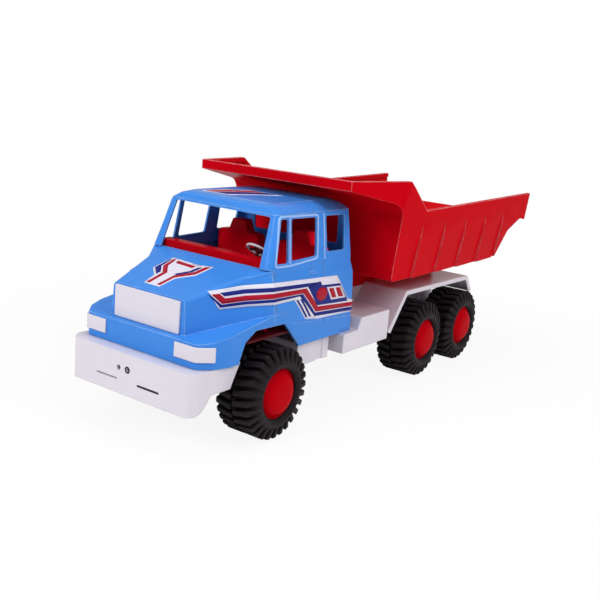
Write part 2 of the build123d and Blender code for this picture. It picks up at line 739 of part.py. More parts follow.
def bed_tub():
    outside = (
        (bed_front_y, bed_bottom_z, bed_foot_round), (bed_tail_start_y, bed_bottom_z, bed_tail_start_round),
        (bed_tail_bend_y, bed_tail_bend_z, bed_tail_bend_round), (bed_crest_y, bed_crest_z, bed_crest_round),
        (bed_lip_y, bed_lip_z), (bed_lip_y, rail_rear_z), (rail_front_y, rail_front_z),
        (cheek_rear_y, cheek_rear_z, cheek_round), (canopy_front_y, canopy_top_z),
        (canopy_front_y, canopy_front_under_z), (bed_front_y, canopy_rear_under_z, canopy_bend_round))
    inner_y = bed_front_y + bed_wall
    high_z = canopy_top_z + 20.0
    inside = (
        (inner_y, bed_bottom_z + bed_wall, bed_foot_round), (bed_tail_start_y - 1.2, bed_bottom_z + bed_wall,
                                                             bed_tail_start_round - bed_wall),
        (bed_tail_bend_y - 1.2, bed_tail_bend_z + bed_wall, bed_tail_bend_round + bed_wall),
        (bed_crest_y, bed_crest_z + bed_wall, bed_crest_round), (bed_lip_y + 10.0, bed_lip_z + bed_wall - 1.8),
        (bed_lip_y + 10.0, high_z), (canopy_front_y + canopy_lip, high_z),
        (canopy_front_y + canopy_lip, canopy_front_under_z + bed_wall),
        (inner_y, canopy_rear_under_z + bed_wall, canopy_bend_round - bed_wall))
    rail_band = (
        (canopy_front_y, canopy_top_z), (canopy_front_y, canopy_top_z - rail_depth),
        (cheek_rear_y - 1.0, cheek_rear_z - rail_depth), (rail_front_y - 2.0, rail_front_z - rail_depth),
        (bed_lip_y, rail_rear_z - rail_depth), (bed_lip_y, rail_rear_z), (rail_front_y, rail_front_z),
        (cheek_rear_y, cheek_rear_z, cheek_round))
    past_end = ((0.0, 0.0), (bed_lip_y + reach, 0.0), (bed_lip_y + reach, reach), (0.0, reach))
    tub = bed_envelope(0.0, outside) - bed_envelope(bed_wall, inside)
    tub += bed_envelope(0.0, rail_band) - bed_envelope(rail_width, past_end)
    limits = bed_envelope(-panel_proud, outside) & panel_limits()
    for side in (-1, 1):
        for index in range(panel_count):
            tub += side_panel(index, side) & limits
    tub += bed_beams()
    return tub - rod_x(hinge_pin_radius, -beam_outer_x - 1, beam_outer_x + 1, hinge_y, hinge_z)


def bed_beams():
    """Two long ribs under the floor; their rear ends carry the hinge eyes."""
    low_z = frame_rear_top_z + beam_rest_gap
    eye_front_y = hinge_y - hinge_eye_radius
    beams = Part()
    for side in (-1, 1):
        low_x, high_x = sorted((side * beam_inner_x, side * beam_outer_x))
        beams += block(low_x, high_x, beam_front_y, eye_front_y, low_z, bed_bottom_z + 0.5)
        beams += block(low_x, high_x, eye_front_y - 1.0, hinge_y + hinge_eye_radius, hinge_z, bed_bottom_z + 0.5)
        beams += block(low_x, high_x, eye_front_y - 1.0, hinge_y, hinge_z - hinge_eye_radius, hinge_z)
        beams += rod_x(hinge_eye_radius, low_x, high_x, hinge_y, hinge_z)
    return beams


def build_all():
    pieces = {
        "chassis_frame": chassis_frame(),
        "front_bumper": front_bumper(),
        "hood_shell": hood_shell(),
        "cab_shell": cab_shell(),
        "cab_roof": cab_roof(),
        "grille_panel": grille_panel(),
        "interior_floor": interior_floor(),
        "dashboard": dashboard(),
        "steering_wheel": steering_wheel(),
        "bed_tub": bed_tub(),
        "bed_pivot_pin": rod_x(hinge_pin_radius, -hinge_pin_half, hinge_pin_half, hinge_y, hinge_z),
    }
    for name, side in (("left", 1), ("right", -1)):
        pieces[f"headlamp_{name}"] = headlamp(side)
        pieces[f"seat_{name}"] = seat(side)
        pieces[f"sill_box_{name}"] = sill_box(side)
        pieces[f"side_tank_{name}"] = side_tank(side)
        pieces[f"rear_fender_{name}"] = rear_fender(side)
        wheel_tyre = sided(tyre(), side)
        wheel_hub = sided(hub(), side)
        for axle, axle_y in (("front", 0.0), ("middle", middle_axle_y), ("rear", rear_axle_y)):
            spot = Pos(0, axle_y, wheel_radius)
            pieces[f"{axle}_tyre_{name}"] = spot * wheel_tyre
            pieces[f"{axle}_hub_{name}"] = spot * wheel_hub
    for axle, axle_y in (("front", 0.0), ("middle", middle_axle_y), ("rear", rear_axle_y)):
        pieces[f"{axle}_axle"] = rod_x(axle_radius, -axle_end_x, axle_end_x, axle_y, wheel_radius)
    return pieces


os.makedirs("parts", exist_ok=True)
for node, shape in build_all().items():
    export_step(placed(shape), f"parts/{node}.step")
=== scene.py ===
"""Dressed model of a plastic toy dump truck: rounded mouldings, lugged tyres, stickers, light and camera.

Objects are in metres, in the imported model's frame: the truck faces -Y, its left side is +X, +Z is up.
The sub-assemblies' sizes are in millimetres of that frame; finishes and studio are in metres.
"""
import logging
import math
from dataclasses import dataclass, field
from enum import Enum

import bmesh
import bpy
from bmesh.types import BMesh, BMVert
from bpy.types import ID, Material, Mesh, Node, NodeOutputs, NodeSocket, NodeTree, Object, World
from mathutils import Matrix, Vector
from mathutils.bvhtree import BVHTree


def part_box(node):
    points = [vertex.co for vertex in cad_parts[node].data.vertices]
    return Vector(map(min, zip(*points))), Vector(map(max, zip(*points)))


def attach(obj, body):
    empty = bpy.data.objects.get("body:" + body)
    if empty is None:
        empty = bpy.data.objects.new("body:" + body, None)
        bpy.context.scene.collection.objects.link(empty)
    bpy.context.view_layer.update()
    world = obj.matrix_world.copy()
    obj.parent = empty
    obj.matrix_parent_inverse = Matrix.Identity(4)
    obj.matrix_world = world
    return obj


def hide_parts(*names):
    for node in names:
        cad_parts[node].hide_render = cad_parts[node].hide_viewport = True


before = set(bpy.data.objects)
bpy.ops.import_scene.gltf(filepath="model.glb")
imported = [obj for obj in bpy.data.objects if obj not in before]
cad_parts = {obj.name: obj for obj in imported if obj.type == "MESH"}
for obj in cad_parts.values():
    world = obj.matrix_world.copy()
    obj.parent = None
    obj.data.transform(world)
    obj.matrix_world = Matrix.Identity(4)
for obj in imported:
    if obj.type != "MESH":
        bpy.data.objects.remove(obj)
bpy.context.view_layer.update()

log = logging.getLogger("toy_dump_truck")

CARRIERS = ("hood_shell", "cab_shell", "cab_roof")
MM = 0.001
FULL_TURN = 2.0 * math.pi
# Rays at the truck start this far out, in metres.
RAY_START = 0.5

Triple = tuple[float, float, float]
Point = tuple[float, float]
Outline = tuple[Point, ...]
Value = NodeSocket | float


class Side(Enum):
    """A side of the truck, with the sign of its X."""

    LEFT = 1
    RIGHT = -1

    @property
    def word(self) -> str:
        """Return the side as it stands in a node's name."""
        return self.name.lower()

    @property
    def out(self) -> Vector:
        """Return the direction that the side faces."""
        return Vector((self.value, 0.0, 0.0))


class Slot(Enum):
    """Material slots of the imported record."""

    WHITE = "white_plastic"
    BLUE = "blue_plastic"
    RED = "red_plastic"
    GREY = "grey_plastic"
    TYRE = "tyre"
    STEEL = "steel"


# Node trees

# The kind of socket that an input's default value calls for, with None for geometry.
SOCKET_KINDS = {tuple: "Color", float: "Float", int: "Int", Material: "Material", type(None): "Geometry"}
# The Mix node's two inputs and its result, by the type of data.
MIX_SOCKETS = {"RGBA": (6, 7, 2), "FLOAT": (2, 3, 0)}
PLAIN_GREY = (0.5, 0.5, 0.5, 1.0)


def feed(node: Node, values: dict[str | int, object]) -> None:
    """Link or set inputs of a node.

    Args:
        node: The node.
        values: For an input's name or number, the socket that it is linked to or the value that it takes.
    """
    for label, value in values.items():
        if isinstance(value, NodeSocket):
            node.id_data.links.new(value, node.inputs[label])
        else:
            node.inputs[label].default_value = value


def add_node(tree: NodeTree, kind: str, values: dict[str | int, object] | None = None,
             **settings: object) -> NodeOutputs:
    """Add a node to a tree.

    Args:
        tree: Tree that gets the node.
        kind: Type of the node.
        values: What its inputs take.
        settings: The node's own settings, which come first.

    Returns:
        The node's outputs.
    """
    node = tree.nodes.new(kind)
    for name, setting in settings.items():
        setattr(node, name, setting)
    feed(node, values or {})
    return node.outputs


def new_tree(kind: str, name: str, inputs: dict[str, object],
             outputs: dict[str, str]) -> tuple[NodeTree, NodeOutputs, Node]:
    """Make a node tree with named sockets.

    Args:
        kind: Type of the tree.
        name: Name of the tree.
        inputs: Default value of each named input, None for geometry.
        outputs: Kind of each named output.

    Returns:
        The tree, what its inputs give, and its output node.
    """
    tree = bpy.data.node_groups.new(name, kind)
    for label, default in inputs.items():
        socket_kind = f"NodeSocket{SOCKET_KINDS[type(default)]}"
        socket = tree.interface.new_socket(label, in_out="INPUT", socket_type=socket_kind)
        if default is not None:
            socket.default_value = default
    for label, output_kind in outputs.items():
        tree.interface.new_socket(label, in_out="OUTPUT", socket_type=f"NodeSocket{output_kind}")
    return tree, tree.nodes.new("NodeGroupInput").outputs, tree.nodes.new("NodeGroupOutput")


def calculated(operation: str, first: NodeSocket, *others: Value) -> NodeSocket:
    """Return the result of one operation on sockets or numbers."""
    values = dict(enumerate((first, *others)))
    return add_node(first.id_data, "ShaderNodeMath", values, operation=operation)[0]


def noise(place: NodeSocket, scale: Value, detail: float) -> NodeSocket:
    """Return a noise texture's value at a place, for its scale and its octaves."""
    values = {"Vector": place, "Scale": scale, "Detail": detail}
    return add_node(place.id_data, "ShaderNodeTexNoise", values)["Fac"]


def remap(value: NodeSocket, low: float, high: float, to_low: Value, to_high: Value) -> NodeSocket:
    """Return a value with its range from low to high mapped onto another, clamped."""
    ranges = {"Value": value, "From Min": low, "From Max": high, "To Min": to_low, "To Max": to_high}
    return add_node(value.id_data, "ShaderNodeMapRange", ranges)["Result"]


def blend(data_type: str, share: NodeSocket, first: NodeSocket, second: NodeSocket) -> NodeSocket:
    """Mix two colours or two values.

    Args:
        data_type: RGBA for colours, FLOAT for values.
        share: 0 gives the first, 1 the second.
        first: First colour or value.
        second: Second colour or value.

    Returns:
        The mixed colour or value.
    """
    first_input, second_input, result = MIX_SOCKETS[data_type]
    mixed = {"Factor": share, first_input: first, second_input: second}
    return add_node(share.id_data, "ShaderNodeMix", mixed, data_type=data_type)[result]


def moulded_skin() -> NodeTree:
    """Build the look of a moulded skin: colour drift, flow streaks, uneven gloss, fine grain and soft edges.

    Returns:
        The shader group. Its Edge output is a mask of the outer edges that get a painted highlight,
        strongest where they face up or forward, towards the lamps; Side Edges is the share left to those
        that face neither up nor forward.
    """
    group, given, end = new_tree("ShaderNodeTree", "moulded_skin", {
        "Colour": PLAIN_GREY, "Deep Colour": PLAIN_GREY, "Drift Scale": 14.0, "Grain Scale": 900.0,
        "Grain Height": 0.00002, "Gloss Low": 0.25, "Gloss High": 0.4, "Edge Radius": 0.001,
        "Side Edges": 1.0,
    }, {"Colour": "Color", "Roughness": "Float", "Normal": "Vector", "Edge": "Float"})
    coords = add_node(group, "ShaderNodeTexCoord")["Object"]
    drift = noise(coords, given["Drift Scale"], 3.0)
    flow = add_node(group, "ShaderNodeMapping", {"Vector": coords, "Scale": (1.0, 0.25, 3.0)})
    streaks = noise(flow["Vector"], 60.0, 2.0)
    depth = remap(calculated("MULTIPLY", drift, streaks), 0.12, 0.42, 1.0, 0.0)
    grain = noise(coords, given["Grain Scale"], 3.0)
    height = calculated("MULTIPLY", grain, given["Grain Height"])
    soft = add_node(group, "ShaderNodeBevel", {"Radius": given["Edge Radius"]}, samples=6)["Normal"]
    bump = add_node(group, "ShaderNodeBump", {"Distance": 1.0, "Height": height, "Normal": soft})
    surface = add_node(group, "ShaderNodeNewGeometry")
    flatness = add_node(group, "ShaderNodeVectorMath", {0: soft, 1: surface["True Normal"]},
                        operation="DOT_PRODUCT")["Value"]
    turned_away = remap(flatness, 0.985, 0.9, 0.0, 1.0)
    outward = remap(surface["Pointiness"], 0.498, 0.504, 0.0, 1.0)
    facing = add_node(group, "ShaderNodeSeparateXYZ", {0: soft})
    # Edges that face up or forward, towards the lamps, keep the whole mask: there the highlight is painted.
    upward = remap(facing["Z"], 0.15, 0.35, given["Side Edges"], 1.0)
    forward = remap(facing["Y"], -0.75, -0.85, given["Side Edges"], 1.0)
    edge = calculated("MULTIPLY", turned_away, outward)
    in_light = calculated("MAXIMUM", upward, forward)
    feed(end, {
        "Colour": blend("RGBA", depth, given["Colour"], given["Deep Colour"]),
        "Roughness": remap(drift, 0.3, 0.7, given["Gloss Low"], given["Gloss High"]),
        "Normal": bump["Normal"],
        "Edge": calculated("MULTIPLY", edge, in_light),
    })
    return group


def handled_edges() -> NodeTree:
    """Build painted highlights along the outer edges: a paler colour and more polish where the edge mask is.

    Returns:
        The shader group.
    """
    group, given, end = new_tree("ShaderNodeTree", "handled_edges", {
        "Colour": PLAIN_GREY, "Edge Colour": PLAIN_GREY, "Roughness": 0.3, "Edge Roughness": 0.2, "Edge": 0.0,
        "Amount": 0.4,
    }, {"Colour": "Color", "Roughness": "Float"})
    coords = add_node(group, "ShaderNodeTexCoord")["Object"]
    patchy = remap(noise(coords, 60.0, 3.0), 0.35, 0.6, 0.45, 1.0)
    # The painted highlight, broken into patches by noise.
    patchy_highlight = calculated("MULTIPLY", given["Edge"], patchy)
    share = calculated("MULTIPLY", patchy_highlight, given["Amount"])
    feed(end, {
        "Colour": blend("RGBA", share, given["Colour"], given["Edge Colour"]),
        "Roughness": blend("FLOAT", share, given["Roughness"], given["Edge Roughness"]),
    })
    return group


def floor_dust() -> NodeTree:
    """Build floor dust: a pale film that thins out upwards from the floor.

    Returns:
        The shader group.
    """
    group, given, end = new_tree("ShaderNodeTree", "floor_dust", {
        "Colour": PLAIN_GREY, "Dust Colour": (0.4, 0.37, 0.33, 1.0), "Height": 0.06, "Amount": 0.1,
    }, {"Colour": "Color"})
    coords = add_node(group, "ShaderNodeTexCoord")["Object"]
    height = add_node(group, "ShaderNodeSeparateXYZ", {0: coords})["Z"]
    low = remap(calculated("DIVIDE", height, given["Height"]), 0.0, 1.0, 1.0, 0.0)
    specks = remap(noise(coords, 260.0, 5.0), 0.4, 0.62, 0.2, 1.0)
    film = calculated("MULTIPLY", low, specks)
    share = calculated("MULTIPLY", film, given["Amount"])
    feed(end, {"Colour": blend("RGBA", share, given["Colour"], given["Dust Colour"])})
    return group


@dataclass
class ShaderGroups:
    """The shader groups that the finishes share, each built once."""

    skin: NodeTree = field(default_factory=moulded_skin)
    edges: NodeTree = field(default_factory=handled_edges)
    dust: NodeTree = field(default_factory=floor_dust)


# Finishes


def opaque(colour: Triple, share: float = 1.0) -> tuple[float, ...]:
    """Return a share of a colour, with alpha 1."""
    return (*(part * share for part in colour), 1.0)


@dataclass(frozen=True)
class Finish:
    """One surface finish, made from the shared shader groups."""

    name: str
    slot: Slot
    colour: Triple
    # edge is the colour of the painted highlight along the lit outer edges; edge_amount sets how much of it
    # shows, and side_edges its share on edges that face neither up nor forward.
    edge: Triple
    deep: float = 0.93
    edge_amount: float = 0.35
    edge_radius: float = 0.0011
    edge_polish: float = 0.8
    side_edges: float = 1.0
    gloss: Point = (0.26, 0.36)
    grain_scale: float = 900.0
    grain_height: float = 0.000012
    specular: float = 0.5
    metallic: float = 0.0
    dust: float = 0.06

    def build(self, groups: ShaderGroups) -> Material:
        """Make the material.

        Args:
            groups: The shared shader groups.

        Returns:
            The finished material.
        """
        material = bpy.data.materials.new(self.name)
        material.use_nodes = True
        tree = material.node_tree
        skin = add_node(tree, "ShaderNodeGroup", {
            "Colour": opaque(self.colour), "Deep Colour": opaque(self.colour, self.deep),
            "Grain Scale": self.grain_scale, "Grain Height": self.grain_height, "Gloss Low": self.gloss[0],
            "Gloss High": self.gloss[1], "Edge Radius": self.edge_radius, "Side Edges": self.side_edges,
        }, node_tree=groups.skin)
        # The paler Edge Colour along the masked edges is a painted highlight.
        edges = add_node(tree, "ShaderNodeGroup", {
            "Colour": skin["Colour"], "Edge Colour": opaque(self.edge), "Roughness": skin["Roughness"],
            "Edge Roughness": self.gloss[0] * self.edge_polish, "Edge": skin["Edge"],
            "Amount": self.edge_amount,
        }, node_tree=groups.edges)
        dusty = add_node(tree, "ShaderNodeGroup", {"Colour": edges["Colour"], "Amount": self.dust},
                         node_tree=groups.dust)
        feed(tree.nodes["Principled BSDF"], {
            "Base Color": dusty["Colour"], "Roughness": edges["Roughness"], "Normal": skin["Normal"],
            "Specular IOR Level": self.specular, "Metallic": self.metallic,
        })
        return material


def printed_film(name: str, slot: Slot, colour: Triple, **rest: float) -> Finish:
    """Return the finish of a sticker's film, which has sharp edges of its own colour."""
    return Finish(name, slot, colour, colour, gloss=(0.3, 0.4), edge_amount=0.0,
                  grain_height=0.000004, edge_radius=0.0001, **rest)


class Look(Enum):
    """Every finish on the truck."""

    BLUE = Finish("blue_moulding", Slot.BLUE, (0.048, 0.25, 0.76), (0.4, 0.62, 0.97), deep=0.92,
                  gloss=(0.2, 0.3), edge_amount=0.65, edge_radius=0.0015, specular=0.16, dust=0.015)
    RED = Finish("red_moulding", Slot.RED, (0.6, 0.0008, 0.007), (0.92, 0.45, 0.47),
                 edge_amount=0.95, gloss=(0.22, 0.32), specular=0.01, edge_radius=0.0016,
                 side_edges=0.12, dust=0.005)
    SOFT_RED = Finish("soft_red_moulding", Slot.RED, (0.5, 0.0008, 0.006), (0.7, 0.05, 0.07), deep=0.9,
                      edge_amount=0.25, gloss=(0.22, 0.32), specular=0.012, edge_radius=0.0006, dust=0.005)
    # The window beads take a paler copy of the blue with strong pale edges: a painted highlight.
    PALE_BLUE = Finish("window_bead_moulding", Slot.BLUE, (0.3, 0.5, 0.9), (0.68, 0.76, 1.0), deep=0.92,
                       gloss=(0.2, 0.3), edge_amount=0.9, edge_radius=0.001, specular=0.2, dust=0.01)
    # The seats take a brighter copy of the red: painted light that lifts the shade under the roof.
    SEAT_RED = Finish("seat_moulding", Slot.RED, (0.9, 0.002, 0.014), (0.95, 0.08, 0.1), deep=0.9,
                      edge_amount=0.3, gloss=(0.22, 0.32), specular=0.04, edge_radius=0.0006, dust=0.005)
    # A dark copy of the red for the cab floor and the steering wheel: painted shade, as in the wheel arch and
    # the cab.
    DARK_RED = Finish("floor_pan_moulding", Slot.RED, (0.09, 0.006, 0.011), (0.16, 0.02, 0.03), deep=0.85,
                      edge_amount=0.2, gloss=(0.35, 0.5), specular=0.1)
    WHITE = Finish("white_moulding", Slot.WHITE, (0.7, 0.66, 0.735), (0.86, 0.83, 0.9), deep=0.965,
                   gloss=(0.16, 0.26), specular=0.55, edge_radius=0.0014)
    GREY = Finish("grey_moulding", Slot.GREY, (0.6, 0.56, 0.6), (0.7, 0.66, 0.7), gloss=(0.4, 0.5))
    TYRE = Finish("tyre_rubber", Slot.TYRE, (0.0125, 0.009, 0.0115), (0.055, 0.048, 0.053),
                  edge_amount=0.5, gloss=(0.4, 0.55), specular=0.12, edge_radius=0.001, dust=0.02,
                  grain_scale=1500.0, grain_height=0.00003)
    STEEL = Finish("drawn_steel", Slot.STEEL, (0.55, 0.55, 0.57), (0.7, 0.7, 0.72),
                   gloss=(0.25, 0.38), metallic=1.0, dust=0.02, edge_radius=0.0004)
    STICKER_WHITE = printed_film("sticker_white", Slot.WHITE, (0.72, 0.7, 0.8), deep=0.97, specular=0.2)
    STICKER_NAVY = printed_film("sticker_navy", Slot.BLUE, (0.013, 0.02, 0.2), specular=0.12)
    STICKER_RED = printed_film("sticker_red", Slot.RED, (0.4, 0.008, 0.025), specular=0.12)


@dataclass
class Palette:
    """The materials of all finishes, made when first asked for."""

    groups: ShaderGroups = field(default_factory=ShaderGroups)
    made: dict[Look, Material] = field(default_factory=dict)

    def __getitem__(self, look: Look) -> Material:
        """Find the material of a finish.

        Args:
            look: The finish.

        Returns:
            Its material, made if it wasn't there.
        """
        if look not in self.made:
            self.made[look] = look.value.build(self.groups)
        return self.made[look]


# Mesh tools

MERGE_DISTANCE = 0.002 * MM
FLAT_ANGLE = math.radians(0.4)


def plain_mesh(name: str, shape: BMesh, smooth: bool = True) -> Mesh:
    """Turn a bmesh into a mesh.

    Args:
        name: Name of the mesh.
        shape: The bmesh, which is freed.
        smooth: Whether its faces are shaded smooth.

    Returns:
        The mesh.
    """
    mesh = bpy.data.meshes.new(name)
    shape.to_mesh(mesh)
    shape.free()
    mesh.polygons.foreach_set("use_smooth", [smooth] * len(mesh.polygons))
    return mesh


def add_object(name: str, data: ID) -> Object:
    """Put an object into the scene, at the origin.

    Args:
        name: Name of the object.
        data: Its mesh, camera or light.

    Returns:
        The object.
    """
    added = bpy.data.objects.new(name, data)
    bpy.context.scene.collection.objects.link(added)
    return added


def mesh_object(name: str, shape: BMesh, smooth: bool = True) -> Object:
    """Turn a bmesh, which is freed, into a piece in the scene."""
    return add_object(name, plain_mesh(name, shape, smooth))


def settled_mesh(piece: Object) -> Mesh:
    """Return a plain mesh of a piece as its modifiers leave it."""
    bpy.context.view_layer.update()
    return bpy.data.meshes.new_from_object(piece.evaluated_get(bpy.context.evaluated_depsgraph_get()))


def cad_shape(node: str) -> BMesh:
    """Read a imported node's mesh, merge its loose triangles and clear the lines inside its flat faces.

    Args:
        node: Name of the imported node.

    Returns:
        Its mesh, with whole flat faces.
    """
    shape = bmesh.new()
    shape.from_mesh(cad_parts[node].data)
    shape.transform(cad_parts[node].matrix_world)
    bmesh.ops.remove_doubles(shape, verts=shape.verts, dist=MERGE_DISTANCE)
    bmesh.ops.dissolve_limit(shape, angle_limit=FLAT_ANGLE, verts=shape.verts, edges=shape.edges)
    return shape


def round_edges(piece: Object, width: float, segments: int = 3, angle: float = 28.0) -> None:
    """Round a piece's sharp edges with a bevel that stays on it.

    Args:
        piece: The piece.
        width: Width of the bevel in millimetres.
        segments: Facets across each rounded edge.
        angle: Edges sharper than this are rounded, in degrees.
    """
    bevel = piece.modifiers.new("rounded_edges", "BEVEL")
    bevel.width = width * MM
    bevel.segments = segments
    bevel.limit_method = "ANGLE"
    bevel.angle_limit = math.radians(angle)
    bevel.miter_outer = "MITER_ARC"
    flats = piece.modifiers.new("flat_faces", "WEIGHTED_NORMAL")
    flats.mode = "FACE_AREA"
    flats.weight = 90


def paint(piece: Object, material: Material) -> None:
    """Give a piece one material."""
    piece.data.materials.clear()
    piece.data.materials.append(material)


def oval(centre: Point, radii: Point, count: int) -> Outline:
    """Return the corners of an ellipse, from its middle, its two radii and their number."""
    turns = (FULL_TURN * index / count for index in range(count))
    return tuple((centre[0] + radii[0] * math.cos(a), centre[1] + radii[1] * math.sin(a)) for a in turns)


def arc(centre: Point, radius: float, start: float, sweep: float) -> list[Point]:
    """Return seven points along an arc, which starts and sweeps by angles in degrees."""
    turns = (math.radians(start + sweep * step / 6) for step in range(7))
    return [(centre[0] + radius * math.cos(a), centre[1] + radius * math.sin(a)) for a in turns]


def skin_rings(shape: BMesh, rings: list[list[BMVert]], looped: bool) -> None:
    """Lay faces between neighbouring rings of equal length, and turn all faces outwards.

    Args:
        shape: Mesh that holds the rings.
        rings: The rings; a pole is a ring of one vertex, repeated.
        looped: Whether the last ring meets the first; otherwise both are capped.
    """
    for ring, after in zip(rings, rings[1:] + rings[:1] if looped else rings[1:]):
        for index in range(len(ring)):
            corners = dict.fromkeys((ring[index - 1], ring[index], after[index], after[index - 1]))
            if len(corners) > 2:
                shape.faces.new(list(corners))
    if not looped:
        shape.faces.new(rings[0][::-1])
        shape.faces.new(rings[-1])
    bmesh.ops.recalc_face_normals(shape, faces=shape.faces)


def turned(profile: Outline, segments: int) -> BMesh:
    """Turn a closed outline about the X axis.

    Args:
        profile: Points (x, radius) in millimetres; those at radius 0 become poles.
        segments: Steps round the axis.

    Returns:
        A closed shape.
    """
    shape = bmesh.new()
    rings = []
    for x, radius in profile:
        if radius == 0.0:
            rings.append([shape.verts.new((x * MM, 0.0, 0.0))] * segments)
        else:
            circle = oval((0.0, 0.0), (radius * MM, radius * MM), segments)
            rings.append([shape.verts.new((x * MM, y, z)) for y, z in circle])
    skin_rings(shape, rings, looped=True)
    return shape


def finished_surface(carriers: list[Object]) -> BVHTree:
    """Gather the finished surface of some pieces, for finding places on it.

    Args:
        carriers: The pieces.

    Returns:
        The surface, for casting rays at.
    """
    body = bmesh.new()
    for carrier in carriers:
        mesh = settled_mesh(carrier)
        body.from_mesh(mesh)
        bpy.data.meshes.remove(mesh)
    surface = BVHTree.FromBMesh(body)
    body.free()
    return surface


# Geometry nodes


def finish_tree(material: NodeSocket, made: NodeSocket, end: Node) -> None:
    """End a tree in real geometry of one material.

    Args:
        material: The tree's Material input.
        made: The geometry that it has made.
        end: Its output node.
    """
    real = add_node(end.id_data, "GeometryNodeRealizeInstances", {"Geometry": made})["Geometry"]
    dressed = {"Geometry": real, "Material": material}
    feed(end, {"Geometry": add_node(end.id_data, "GeometryNodeSetMaterial", dressed)["Geometry"]})


def ring_of_copies(count: int, phase: float, material: Material) -> NodeTree:
    """Build a tree that sets copies of its input evenly round the X axis.

    Args:
        count: Number of copies.
        phase: Angle of the first one, in radians.
        material: Material of the result.

    Returns:
        The tree, with Count, Phase and Material as its named inputs.
    """
    tree, given, end = new_tree("GeometryNodeTree", "ring_of_copies", {
        "Geometry": None, "Count": count, "Phase": phase, "Material": material}, {"Geometry": "Geometry"})
    points = add_node(tree, "GeometryNodeMeshLine", {"Count": given["Count"], "Offset": (0.0, 0.0, 0.0)})
    index = add_node(tree, "GeometryNodeInputIndex")["Index"]
    share = calculated("DIVIDE", index, given["Count"])
    turn = calculated("MULTIPLY_ADD", share, FULL_TURN, given["Phase"])
    about_x = add_node(tree, "ShaderNodeCombineXYZ", {"X": turn})[0]
    rotation = add_node(tree, "FunctionNodeEulerToRotation", {0: about_x})[0]
    copies = add_node(tree, "GeometryNodeInstanceOnPoints", {
        "Points": points["Mesh"], "Instance": given["Geometry"], "Rotation": rotation})
    finish_tree(given["Material"], copies["Instances"], end)
    return tree


def swept_bead(radius: float, material: Material) -> NodeTree:
    """Build a tree that sweeps a round bead along the lines of its input.

    Args:
        radius: Radius of the bead in metres.
        material: Material of the result.

    Returns:
        The tree, with Radius and Material as its named inputs.
    """
    tree, given, end = new_tree("GeometryNodeTree", "swept_bead", {
        "Geometry": None, "Radius": radius, "Material": material}, {"Geometry": "Geometry"})
    route = add_node(tree, "GeometryNodeMeshToCurve", {"Mesh": given["Geometry"]})
    section = add_node(tree, "GeometryNodeCurvePrimitiveCircle", {
        "Resolution": 12, "Radius": given["Radius"]})
    sweep = add_node(tree, "GeometryNodeCurveToMesh", {
        "Curve": route["Curve"], "Profile Curve": section["Curve"], "Fill Caps": True})
    finish_tree(given["Material"], sweep["Mesh"], end)
    return tree


def run_tree(seed: Object, tree: NodeTree, values: dict[str, object]) -> Mesh:
    """Run a tree on an object and take the result as a plain mesh.

    Args:
        seed: Object that the tree starts from; it is removed.
        tree: The geometry nodes tree.
        values: Value of each named input.

    Returns:
        The plain mesh.
    """
    modifier = seed.modifiers.new(tree.name, "NODES")
    modifier.node_group = tree
    for item in tree.interface.items_tree:
        if item.in_out == "INPUT" and item.name in values:
            modifier[item.identifier] = values[item.name]
    mesh = settled_mesh(seed)
    bpy.data.objects.remove(seed, do_unlink=True)
    return mesh


# Sub-assemblies


@dataclass
class SubAssembly:
    """A part of the truck that takes its finishes from the palette."""

    palette: Palette

    def mount(self, piece: Object, body: str, look: Look, nodes: tuple[str, ...] = ()) -> None:
        """Paint a finished piece and put it on its body.

        Args:
            piece: The piece.
            body: Body that it moves with.
            look: Its finish.
            nodes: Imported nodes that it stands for.
        """
        paint(piece, self.palette[look])
        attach(piece, body)
        if nodes:
            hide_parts(*nodes)
        log.info("%s rides on %s in %s", piece.name, body, look.value.name)


